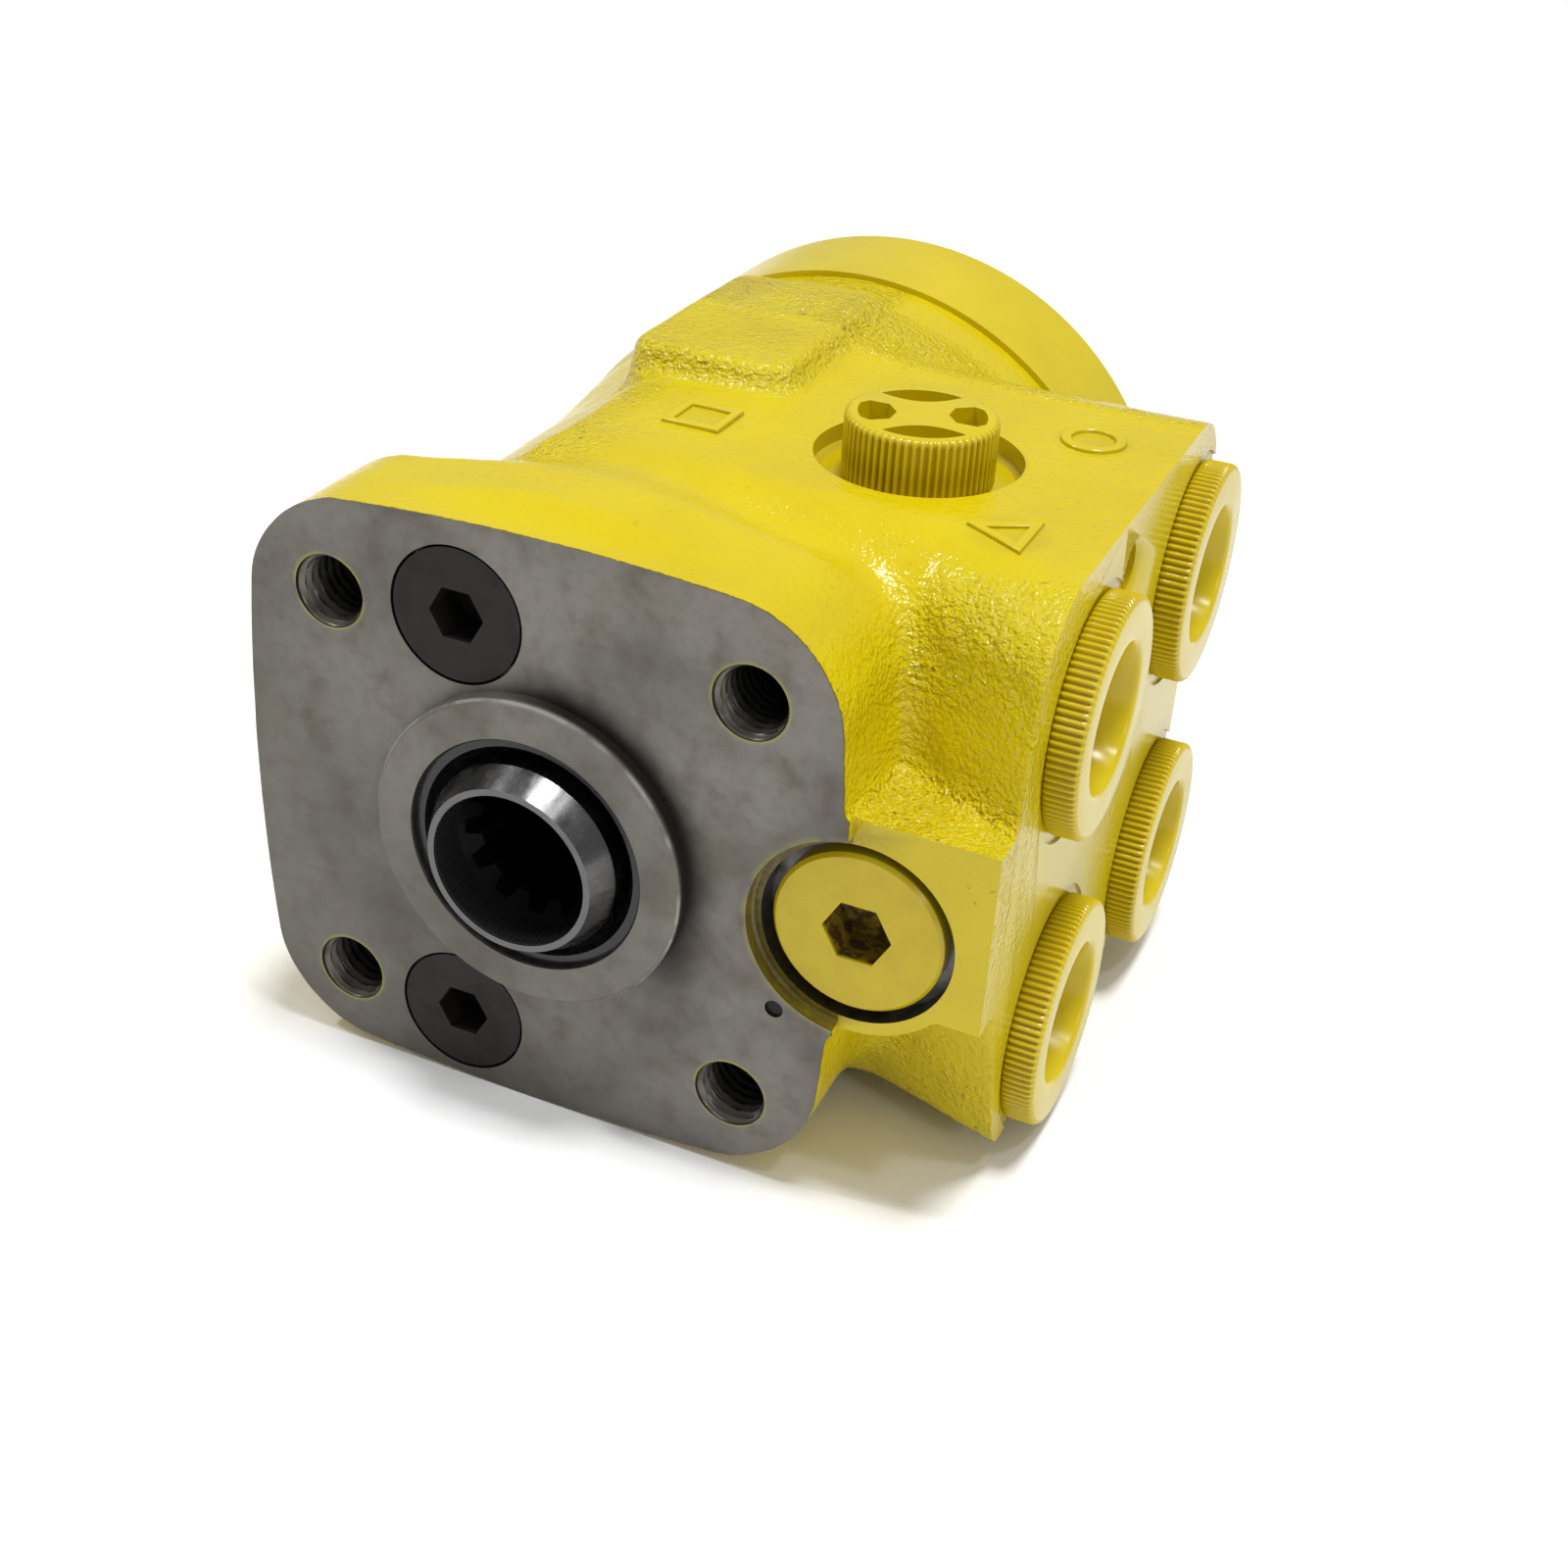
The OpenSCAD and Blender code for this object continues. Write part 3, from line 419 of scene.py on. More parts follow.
# The casting is a signed distance, negative inside, built from simple distances that blend.
casting = {
    "grid": 0.85,          # spacing of the net, smaller is finer
    "netLow": (-50.3, -5.2, -48.6), "netHigh": (66.3, 107.4, 49.5),
    "swell": 0.20,         # height of the unevenness left by the sand mould
    # flange
    "flangeHalf": 42.25, "flangeBow": 290, "flangeCorner": 12, "flangeLift": 1.1, "flangeDepth": 20.5,
    "flangeRearEdge": 5, "stock": -4,      # stock is the iron left in front of the face for the mill
    # round body and collar
    "bodyRadius": 43.2, "bodyStart": 8, "growFrom": 56, "collarRadius": 46, "collarStep": 0.35,
    "collarStart": 84, "collarEdge": 3, "rearEnd": 103,
    # port block, whose front walls lean along Z and sweep back along X
    "topHeight": 43.2, "bottomHeight": -38, "blockRear": 92, "blockLeft": -15, "outerEnd": 64.0,
    "upperWall": {"start": 4.5, "lean": 0.18, "sweep": 0.50, "steep": 1.133},
    "lowerWall": {"start": 4.4, "lean": -0.30, "sweep": 0.30, "steep": 1.086},
    "sweepReach": 19, "topEdge": 9.5, "rearTopEdge": 13, "lowEdge": 3, "lowRearEdge": 6, "leftEdge": 2.5,
    # top pad
    "padLow": (-18, 58.5), "padHigh": (6, 96), "padTop": 47, "padLean": 0.16, "padCorner": 4, "padEdge": 1.6,
    "padFoot": 30,
    # boss for the relief valve
    "bossLow": -9.5, "bossHigh": 16.3, "bossFace": 2, "bossRadius": 14.6, "bossLeft": 8, "bossRear": 24,
    # how wide the parts blend into one another
    "blockBlend": 3, "flangeBlend": 7, "padBlend": 3, "bossBlend": 2.4,
}


# the overlap of two distances, its edge rounded by the radius
def roundMax(a, b, radius):
    outside = np.hypot(np.maximum(a + radius, 0), np.maximum(b + radius, 0))
    return np.minimum(np.maximum(a, b), -radius) + outside


# the union of two distances, filled where they are closer than the radius
def smoothMin(a, b, radius):
    near = np.maximum(radius - np.abs(a - b), 0) / radius
    return np.minimum(a, b) - near * near * radius / 4


# smooth step from 0 at low to 1 at high, either way round
def ease(value, low, high):
    t = np.clip((value - low) / (high - low), 0, 1)
    return t * t * (3 - 2 * t)


# Bowed square: the overlap of four big circles, with round corners, carried along Y.
def flangeShape(x, y, z):
    c = casting
    reach = c["flangeBow"] - c["flangeHalf"]
    up = z - c["flangeLift"]
    bow = c["flangeBow"] - c["flangeCorner"]
    across = np.hypot(np.abs(x) + reach, up) - bow
    upright = np.hypot(np.abs(up) + reach, x) - bow
    outline = roundMax(across - c["flangeCorner"], upright - c["flangeCorner"], c["flangeCorner"])
    return roundMax(roundMax(outline, y - c["flangeDepth"], c["flangeRearEdge"]), c["stock"] - y, 0.1)


# Round body that grows towards the collar.
def bodyShape(x, y, z):
    c = casting
    growth = c["collarRadius"] - c["bodyRadius"] - c["collarStep"]
    grown = c["bodyRadius"] + growth * ease(y, c["growFrom"], c["collarStart"])
    reach = np.hypot(x, z)
    body = roundMax(reach - grown, c["bodyStart"] - y, 1)
    collar = roundMax(reach - c["collarRadius"], c["collarStart"] + 1 - y, c["collarEdge"])
    return np.maximum(smoothMin(body, collar, 3), y - c["rearEnd"] - 3)


# Port block: the overlap of its walls. The upper front wall leans back towards the flange.
def blockShape(x, y, z):
    c = casting
    back = np.clip(mountPlace("port_front_high")[0] - x, 0, c["sweepReach"])
    upper, lower = ((wall["start"] + wall["lean"] * z + wall["sweep"] * back - y) / wall["steep"]
        for wall in (c["upperWall"], c["lowerWall"]))
    top = z - c["topHeight"]
    front = roundMax(roundMax(upper, top, c["topEdge"]), lower, c["lowEdge"])
    rear = roundMax(y - c["blockRear"], top, c["rearTopEdge"])
    low = roundMax(roundMax(c["bottomHeight"] - z, lower, c["lowEdge"]), y - c["blockRear"], c["lowRearEdge"])
    left = roundMax(c["blockLeft"] - x, top, c["leftEdge"])
    return np.maximum.reduce(np.broadcast_arrays(front, rear, low, left, x - c["outerEnd"]))


# Boss for the relief valve: a bar with a round end, standing in front of the block.
def bossShape(x, y, z):
    c = casting
    bar = roundMax(z - c["bossHigh"], c["bossLow"] - z, 0.5)
    bar = roundMax(bar, relief[0] - c["bossLeft"] - x, 2)
    disc = np.hypot(x - relief[0], z) - c["bossRadius"]
    outline = np.minimum(bar, disc)
    front, rear = c["bossFace"] - 1.5 - y, y - c["bossRear"]
    return np.maximum.reduce(np.broadcast_arrays(outline, front, rear, x - c["outerEnd"]))


# Low rectangular pad with rounded corners, whose sides draw in upwards.
def padShape(x, y, z):
    c = casting
    halfX, halfY = (c["padHigh"][0] - c["padLow"][0]) / 2, (c["padHigh"][1] - c["padLow"][1]) / 2
    midX, midY = c["padLow"][0] + halfX, c["padLow"][1] + halfY
    lean = (z - c["padTop"]) * c["padLean"]
    outline = roundMax(np.abs(x - midX) - halfX + lean, np.abs(y - midY) - halfY + lean, c["padCorner"])
    return np.maximum(roundMax(outline, z - c["padTop"], c["padEdge"]), c["padFoot"] - z)


def castingShape(x, y, z):
    c = casting
    shape = smoothMin(bodyShape(x, y, z), blockShape(x, y, z), c["blockBlend"])
    shape = smoothMin(shape, flangeShape(x, y, z), c["flangeBlend"])
    shape = smoothMin(shape, padShape(x, y, z), c["padBlend"])
    return smoothMin(shape, bossShape(x, y, z), c["bossBlend"])


# Surface net: one point in each grid cell that the surface crosses, at the mean of the crossings on
# the cell's edges, and one quad round each grid edge that it crosses.
def surfaceNet(shape, low, high, spacing):
    axes = [np.arange(a, b + spacing, spacing) for a, b in zip(low, high)]
    x, y, z = np.meshgrid(*axes, indexing="ij", sparse=True)
    field = np.ascontiguousarray(np.broadcast_to(shape(x, y, z), [len(a) for a in axes]), np.float32)
    cells = np.array(field.shape) - 1
    total = np.zeros((*cells, 3), np.float32)
    hits = np.zeros(cells, np.float32)
    crossings = []
    for axis in range(3):
        start = np.take(field, np.arange(cells[axis]), axis)
        end = np.take(field, np.arange(1, cells[axis] + 1), axis)
        crossed = (start < 0) != (end < 0)
        part = np.where(crossed, start / np.where(crossed, start - end, 1), 0)
        crossings.append((crossed, start < 0))
        others = [a for a in range(3) if a != axis]
        for i in (0, 1):
            for j in (0, 1):
                cut = [slice(None)] * 3
                cut[others[0]] = slice(i, i + cells[others[0]])
                cut[others[1]] = slice(j, j + cells[others[1]])
                seen = crossed[tuple(cut)]
                hits += seen
                total[..., axis] += part[tuple(cut)]
                total[..., others[0]] += seen * i
                total[..., others[1]] += seen * j
    used = hits > 0
    number = np.full(cells, -1)
    number[used] = np.arange(used.sum())
    place = np.argwhere(used) + total[used] / hits[used][:, None]
    points = place * spacing + np.array(low)
    faces = []
    for axis in range(3):
        crossed, inward = crossings[axis]
        others = [(axis + 1) % 3, (axis + 2) % 3]
        cut = [slice(None)] * 3
        for a in others:
            cut[a] = slice(1, cells[a])
        spots = np.argwhere(crossed[tuple(cut)])
        flip = inward[tuple(cut)][tuple(spots.T)]
        spots[:, others[0]] += 1
        spots[:, others[1]] += 1
        around = []
        for back0, back1 in ((1, 1), (0, 1), (0, 0), (1, 0)):
            cell = spots.copy()
            cell[:, others[0]] -= back0
            cell[:, others[1]] -= back1
            around.append(number[tuple(cell.T)])
        quads = np.stack(around, -1)
        quads[~flip] = quads[~flip][:, ::-1]
        faces.append(quads)
    return points, np.concatenate(faces)


# slope of a distance along X, Y and Z, from the change between two close points
def slopeOf(shape, points, reach=0.05):
    steps = np.eye(3) * reach
    return np.stack([shape(*(points + d).T) - shape(*(points - d).T) for d in steps], -1) / (2 * reach)


# Moves each point along the distance's slope until it lies on the surface, at most furthest a round.
def settle(shape, points, rounds=3, furthest=0.6, flattest=0.2):
    for _ in range(rounds):
        slope = slopeOf(shape, points)
        steepness = np.maximum((slope ** 2).sum(1), flattest)
        move = -shape(*points.T) / steepness
        points = points + np.clip(move, -furthest, furthest)[:, None] * slope
    return points


# Smooth noise: random numbers on a lattice, blended by a smooth step, about size across, from -1 to 1.
def latticeNoise(points, size, seed, cells=32):
    table = np.random.default_rng(seed).uniform(-1, 1, (cells, cells, cells))
    place = points / size
    base = np.floor(place).astype(int)
    t = place - base
    t = t * t * (3 - 2 * t)
    result = np.zeros(len(points))
    for corner in range(8):
        step = np.array([(corner >> 2) & 1, (corner >> 1) & 1, corner & 1])
        weight = np.prod(np.where(step == 1, t, 1 - t), 1)
        result += weight * table[tuple(((base + step) % cells).T)]
    return result


# Where the skin was never dressed: each patch is a product of windows, smooth steps along an axis from
# 0 at the first number to 1 at the second, times its share.
roughPatches = {
    "neck": {"share": 1, "windows": [("y", 15, 20), ("y", 40, 30), ("x", 0, -12)]},
    "leftEdge": {"share": 1,
        "windows": [("x", -24, -18), ("x", -6, -12), ("y", 18, 24), ("y", 66, 58), ("z", 34, 38)]},
    "collarFoot": {"share": 1, "windows": [("y", 76, 82), ("y", 96, 90), ("z", 20, 34)]},
    "under": {"share": 0.6, "windows": [("z", -10, -30), ("y", 4, 20)]},
    "upperLeft": {"share": 0.6, "windows": [("x", 6, -10), ("y", 18, 26), ("z", 42.6, 40)]},
    "padSide": {"share": 0.8, "windows": [("padHeight", 3, 1), ("y", 54, 58), ("x", 10, 6)]},
    "valley": {"share": 1, "windows": [("x", 35, 45), ("y", 24, 19), ("z", 12, 15)]},
}
skin = {"flatRough": 0.10, "patchSize": 7, "patchFloor": 0.65, "coarse": 5.0, "fineLumps": 2.4}


# How rough the cast skin is at a point: 1 in the corners that were never dressed, low on the flats.
def roughness(points):
    x, y, z = points.T
    along = {"x": x, "y": y, "z": z, "padHeight": np.abs(z - 45)}
    patches = {}
    for name, patch in roughPatches.items():
        windows = [ease(along[axis], start, full) for axis, start, full in patch["windows"]]
        patches[name] = np.prod(windows, axis=0) * patch["share"]
    # the valley is roughest below its upper edge and softens again above its foot
    patches["valley"] *= 0.30 + 0.70 * ease(z, 41, 35)
    patches["valley"] *= 1 - 0.55 * ease(z, 29, 25) * ease(z, 17, 20)
    patchy = skin["patchFloor"] + (1 - skin["patchFloor"]) * latticeNoise(points, skin["patchSize"], 5)
    return np.clip(np.maximum.reduce(list(patches.values())) * patchy + skin["flatRough"], 0, 1)


castPoints, castFaces = surfaceNet(castingShape, casting["netLow"], casting["netHigh"], casting["grid"])
castPoints = settle(castingShape, castPoints)
castSlope = slopeOf(castingShape, castPoints)
castSlope /= np.linalg.norm(castSlope, axis=1)[:, None]
lumps = latticeNoise(castPoints, skin["coarse"], 1) * 0.6 + latticeNoise(castPoints, skin["fineLumps"], 2) * 0.4
castPoints += castSlope * (lumps * casting["swell"] * (0.25 + roughness(castPoints)))[:, None]
print("casting skin:", len(castPoints), "points", len(castFaces), "quads")
castingPiece = newObject("castingSkin", (castPoints, castFaces), castPaint, weld=False)


# Machining: every cutter is a closed solid, and the faces that it leaves take its material.
cuts = {
    "pilotRadius": 22, "pilotHeight": 2.6, "pilotEdge": 0.5, "neckRadius": 16.4, "neckChamfer": 0.3,
    "shoulder": 8.5, "sleeveRadius": 19,
    "holeRadius": 5.0, "holeDepth": 16, "drillPoint": 2.4,
    "plugHead": 9.35, "plugHeadDepth": 3, "plugBore": 8, "plugThreadEnd": 12,
    "valveRadius": 6.5, "valveDepth": 45,
    "biteRadius": 14, "biteDepth": 2, "biteEdge": 0.3,
    "reliefGroove": 12.8, "reliefHeadEnd": 5.5, "reliefBore": 10.4, "reliefThreadEnd": 16,
    "reliefRadius": 8, "reliefDepth": 60,
    "portFace": 61, "spotRadius": 17.3, "portRadius": 10.35, "portDepth": 16, "passage": 6,
    "bossSide": 42.6, "bossTop": 30, "signalSpot": 14, "signalEdge": 0.8, "signalRadius": 7.1, "signalDepth": 12,
    "bracketRadius": 3.4, "bracketMouth": 4.4, "bracketDepth": 8, "channelRadius": 1.25, "channelDepth": 4.4,
    "clear": 80, "rear": 130,   # how far the cutters reach past the skin
}


def cutAway(piece, cutterShape, material, name):
    cutter = newObject(name, cutterShape, material)
    change = piece.modifiers.new(name, "BOOLEAN")
    change.operation, change.solver, change.object = "DIFFERENCE", "MANIFOLD", cutter
    change.material_mode = "TRANSFER"
    deps = bpy.context.evaluated_depsgraph_get()
    cut = bpy.data.meshes.new_from_object(piece.evaluated_get(deps), preserve_all_data_layers=True, depsgraph=deps)
    piece.modifiers.remove(change)
    piece.data = cut
    bpy.data.objects.remove(cutter)
    print(name, "cut:", len(cut.polygons), "faces,", len(cut.materials), "materials")


def machine(cutterShape, material, name):
    cutAway(castingPiece, cutterShape, material, name)


# the same turned cutter at every spot
def drills(profile, spots, axis, around):
    return joined(*[turned(profile, spot, axis, around) for spot in spots])


def onFace(place):
    return (place[0], 0, place[2])


shockSpots = [onFace(cadCentre(plug)) for plug in ("upper_shock_plug", "lower_shock_plug")]
holeSpots = [(sx * holeHalf, 0, sz * holeHalf) for sx in (-1, 1) for sz in (-1, 1)]
sidePorts = [mountPlace(n) for n in ("port_front_high", "port_rear_high", "port_front_low", "port_rear_low")]
signalPort = mountPlace("port_signal")
c, clear, rear = cuts, cuts["clear"], cuts["rear"]

facing = [(0, -9), (clear, -9), (clear, 0), (c["pilotRadius"], 0), (c["pilotRadius"], -2.1),
    (c["pilotRadius"] - c["pilotEdge"], -c["pilotHeight"]), (0, -c["pilotHeight"])]
machine(turned(facing, around=160), faceIron, "faceMill")
machine(box((c["portFace"], -20, -60), (clear, rear, 60)), flatPaint, "portFaceMill")
machine(box((-70, casting["rearEnd"], -70), (clear, rear, 70)), faceIron, "rearFaceMill")
machine(box((c["bossSide"], -20, -20), (clear, c["biteDepth"], c["bossTop"])), flatPaint, "bossFaceMill")
neckMouth = c["neckRadius"] + c["neckChamfer"]
valveBore = [(0, -9), (neckMouth, -9), (neckMouth, -2.6), (c["neckRadius"], -2.2),
    (c["neckRadius"], c["shoulder"]), (c["sleeveRadius"], c["shoulder"]), (c["sleeveRadius"], rear), (0, rear)]
machine(turned(valveBore, around=128), boreSteel, "valveBore")
# the recess for the relief plug, its wall painted in shade
bite = [(0, -20), (c["biteRadius"], -20), (c["biteRadius"], c["biteDepth"] - c["biteEdge"]),
    (c["biteRadius"] - c["biteEdge"], c["biteDepth"]), (0, c["biteDepth"])]
machine(turned(bite, onFace(relief)), biteShadeePaint, "bite")

boltHole = [(0, -1), (c["holeRadius"], -1), (c["holeRadius"], c["holeDepth"]),
    (0, c["holeDepth"] + c["drillPoint"])]
machine(drills(boltHole, holeSpots, "y", 48), boreSteel, "boltHoles")
shockBore = [(0, -1), (c["plugHead"], -1), (c["plugHead"], c["plugHeadDepth"]),
    (c["plugBore"], c["plugHeadDepth"]), (c["plugBore"], c["plugThreadEnd"]),
    (c["valveRadius"], c["plugThreadEnd"]), (c["valveRadius"], c["valveDepth"]), (0, c["valveDepth"] + 3)]
reliefBore = [(0, 1), (c["reliefGroove"], 1), (c["reliefGroove"], c["reliefHeadEnd"]),
    (c["reliefBore"], c["reliefHeadEnd"]), (c["reliefBore"], c["reliefThreadEnd"]),
    (c["reliefRadius"], c["reliefThreadEnd"]), (c["reliefRadius"], c["reliefDepth"]), (0, c["reliefDepth"] + 3)]
valveBores = joined(drills(shockBore, shockSpots, "y", 72), turned(reliefBore, onFace(relief), around=72))
machine(valveBores, boreSteel, "valveBores")

spotface = [(0, 0), (c["spotRadius"], 0), (c["spotRadius"], 12), (0, 12)]
machine(drills(spotface, sidePorts, "x", 96), flatPaint, "portSpotfaces")
portBore = [(0, 6), (c["portRadius"], 6), (c["portRadius"], -c["portDepth"]), (c["passage"], -c["portDepth"]),
    (c["passage"], -c["portDepth"] - 4), (0, -c["portDepth"] - 6)]
machine(drills(portBore, sidePorts, "x", 72), boreSteel, "portBores")
signalFace = [(0, 0), (c["signalSpot"] - c["signalEdge"], 0), (c["signalSpot"], c["signalEdge"]),
    (c["signalSpot"], 20), (0, 20)]
machine(turned(signalFace, signalPort, "z", 96), flatPaint, "signalSpotface")
signalBore = [(0, 6), (c["signalRadius"], 6), (c["signalRadius"], -c["signalDepth"]),
    (0, -c["signalDepth"] - 2)]
machine(turned(signalBore, signalPort, "z", 64), boreSteel, "signalBore")
bracketHole = [(0, 20), (c["bracketMouth"], 20), (c["bracketMouth"], 7.6), (c["bracketRadius"], 6.8),
    (c["bracketRadius"], -c["bracketDepth"]), (0, -c["bracketDepth"] - 2)]
machine(turned(bracketHole, mountPlace("bracket_hole"), "x", 48), flatPaint, "bracketHole")
channelHole = [(0, -1), (c["channelRadius"], -1), (c["channelRadius"], c["channelDepth"]), (0, 5)]
machine(turned(channelHole, onFace(cadCentre("channel_plug")), around=32), boreSteel, "channelHole")

# generic marks beside the ports: place in X and Y, corners, outer and inner reach
portMarks = {
    "ring": {"place": (49, 66), "corners": 40, "outer": 4.4, "inner": 3.0},
    "triangle": {"place": (49, 31), "corners": 3, "outer": 5.6, "inner": 3.2},
    "square": {"place": (1, 44), "corners": 4, "outer": 5.8, "inner": 4.1},
}
darkenedSpots = {
    "markReach": (6.0, 4.0), "markShare": 0.12,
    "ledgeRadius": 13.3, "ledgeWidth": (1.1, 0.5), "ledgeShare": 0.9,
}

# The skin's roughness is kept on its points, and machined faces stay smooth. The skin is darker a little round
# the marks, and painted shade lies along the left part of the ledge that the relief plug's head sits in, at the
# foot of the recess wall.
coords = np.empty(len(castingPiece.data.vertices) * 3)
castingPiece.data.vertices.foreach_get("co", coords)
coords = coords.reshape(-1, 3) / mm
x, y, z = coords.T
addMark(castingPiece.data, "roughCast", roughness(coords))
markPlaces = [mark["place"] for mark in portMarks.values()]
nearMarks = np.max([ease(np.hypot(x - markX, y - markY), *darkenedSpots["markReach"]) for markX, markY in markPlaces], 0)
# painted shade in the corner at the foot of the recess wall, on its left
ledgeShade = ease(np.abs(np.hypot(x - relief[0], z) - darkenedSpots["ledgeRadius"]), *darkenedSpots["ledgeWidth"])
ledgeShade = ledgeShade * ease(x, relief[0] + 6, relief[0] - 8) * ease(y, 4, 2.5) * darkenedSpots["ledgeShare"]
addMark(castingPiece.data, "grimeAndShade", np.maximum(nearMarks * ease(z, 42, 43) * darkenedSpots["markShare"], ledgeShade))
finishPiece(castingPiece, "housing_body", 42)
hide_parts("housing")
print("casting done:", len(castingPiece.data.polygons), "faces")


boltThread = {"crest": 4.25, "root": 4.97, "pitch": 1.5, "start": 0.05, "end": 15.8}


# Helical groove: the radius falls and rises along a line at angle / turn - along / pitch, so the crest
# climbs one pitch each turn. The first rows spread to the mouth.
def threadShell(c, centre, around=48):
    rows = int((c["end"] - c["start"]) / c["pitch"] * 8)
    along = np.linspace(c["start"], c["end"], rows)
    angle = np.arange(around) / around
    phase = (along[:, None] / c["pitch"] - angle[None, :]) % 1
    wave = np.clip(np.abs(phase * 2 - 1) * 1.3 - 0.15, 0, 1)
    mouth = 1 - ease(np.abs(along - c["start"]), 0, c["pitch"] * 0.6)[:, None]
    radii = c["root"] - (c["root"] - c["crest"]) * wave * (1 - mouth)
    return turnedPoints(radii, along, centre, "y", around), gridFaces(rows, around, False, True)


# the threads face inwards, so their faces are left as they come
threads = joined(*[threadShell(boltThread, spot) for spot in holeSpots])
threadPiece = newObject("boltThreads", threads, threadSteel, weld=False)
finishPiece(threadPiece, "housing_body", 60)
print("threads made")


sideCap = {
    "radius": 16, "rim": 4.5, "edge": 0.9, "lip": 0.8, "ribs": 100, "ribDepth": 0.40, "mouth": 9.9, "throat": 8.3,
    "depth": 9.0, "plug": 10.2, "plugEnd": -11, "splitCap": "cap_rear_low", "splitAngle": 62, "splitWidth": 0.5,
}


# 1 in the grooves of a knurl and 0 on its ribs: a cosine round the cap, cut off flat at both ends
def knurl(angle, ribs):
    return np.clip((0.5 + 0.5 * np.cos(angle * ribs)) * 1.5 - 0.25, 0, 1)


# Cap turned about X: the profile runs from the stem's end, out under the rim, up the knurl, over the
# face and down into the dish. The grooves are cut into the rows of the knurl, half as deep in its edge.
# The groove mask is also kept on the points, where the paint darkens the grooves as painted shade.
def capShape(c, centre, split=None):
    r, rim, edge, lip = c["radius"], c["rim"], c["edge"], c["lip"]
    stem = c["plug"] - 0.1
    profile = [(0, c["plugEnd"]), (c["plug"] - 0.8, c["plugEnd"]), (stem, c["plugEnd"] + 1), (stem, 0)]
    profile += [(r - 0.7, 0.02), (r - 0.2, 0.2)]
    profile += [(r, height) for height in np.linspace(0.5, rim - edge, 9)]
    profile += [(r - edge + edge * math.cos(a), rim - edge + edge * math.sin(a))
        for a in np.linspace(0, math.pi / 2, 6)[1:]]
    profile += [(c["mouth"] + lip - lip * math.sin(a), rim - lip + lip * math.cos(a))
        for a in np.linspace(0, 1.35, 6)]
    profile += [(c["mouth"] - 0.5, rim - 2.4), (c["throat"] + 0.4, rim - 5.5), (c["throat"], -c["depth"] + 1.2),
        (c["throat"] - 1.2, -c["depth"]), (0, -c["depth"])]
    radii, along = np.array(profile).T
    around = c["ribs"] * 6
    angle = np.arange(around) * 2 * math.pi / around
    side, corner = (radii > r - 0.3) & (along < rim - 0.6), (radii > r - 0.75) & (along >= rim - 0.6)
    band = np.clip(side + 0.45 * corner, 0, 1)[:, None]
    groove = band * knurl(angle, c["ribs"])
    table = radii[:, None] - c["ribDepth"] * groove
    if split is not None:   # a crack that widens from the foot to the face
        gap = np.exp(-(((angle - math.radians(split)) * r) / c["splitWidth"]) ** 2)
        table -= (band > 0) * gap * np.linspace(0.2, 1.6, len(radii))[:, None]
    return (turnedPoints(table, along, centre, "x", around), gridFaces(len(along), around, False, True)), groove


for node in ("cap_front_high", "cap_rear_high", "cap_front_low", "cap_rear_low"):
    split = sideCap["splitAngle"] if node == sideCap["splitCap"] else None
    shape, groove = capShape(sideCap, mountPlace(node.replace("cap", "port")), split)
    piece = newObject(node + ".knurled", shape, capPaint, marks={"groove": groove})
    finishPiece(piece, node + "_body", 50)
    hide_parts(node)
print("side caps made")


signalCap = {
    "radius": 10.2, "height": 9, "edge": 0.7, "ribs": 60, "ribDepth": 0.42, "stem": 6.3, "stemLength": 8,
    "pocketRadius": 8.5, "pocketDepth": 4.2, "lensHalf": 5.4, "lensInner": 4.3, "sideHalf": 2.6, "turn": 22,
}


# Straight solid between two heights: a closed outline in X and Y, drawn in to its middle at both ends.
def prism(outline, low, high):
    middle = np.broadcast_to(outline.mean(0), outline.shape)
    rings = [(middle, low), (outline, low), (outline, high), (middle, high)]
    points = np.concatenate([np.column_stack([ring, np.full(len(ring), height)]) for ring, height in rings])
    return points, gridFaces(len(rings), len(outline), False, True)


# Two lens pockets lie front and back in the cap's top, two five-sided ones at the sides, and the web
# between them carries the grip.
def signalPockets(c, centre):
    reach = c["pocketRadius"]
    u = np.linspace(-c["lensHalf"], c["lensHalf"], 24)
    v = np.linspace(-c["sideHalf"], c["sideHalf"], 12)
    inner = np.column_stack([u[::-1], c["lensInner"] + 0.08 * u[::-1] ** 2])[1:-1]
    lens = np.concatenate([np.column_stack([u, np.sqrt(reach * reach - u * u)]), inner])
    fiveSides = [[6.9, 3.5], [4.3, 2.6], [3.4, 0], [4.3, -2.6], [6.9, -3.5]]
    side = np.concatenate([np.column_stack([np.sqrt(reach * reach - v * v), v]), fiveSides])
    turn = math.radians(c["turn"])
    spin = np.array([[math.cos(turn), math.sin(turn)], [-math.sin(turn), math.cos(turn)]])
    top = centre[2] + c["height"]
    outlines = [outline @ spin + centre[:2] for outline in (lens, -lens, side, -side)]
    return joined(*[prism(outline, top - c["pocketDepth"], top + 3) for outline in outlines])


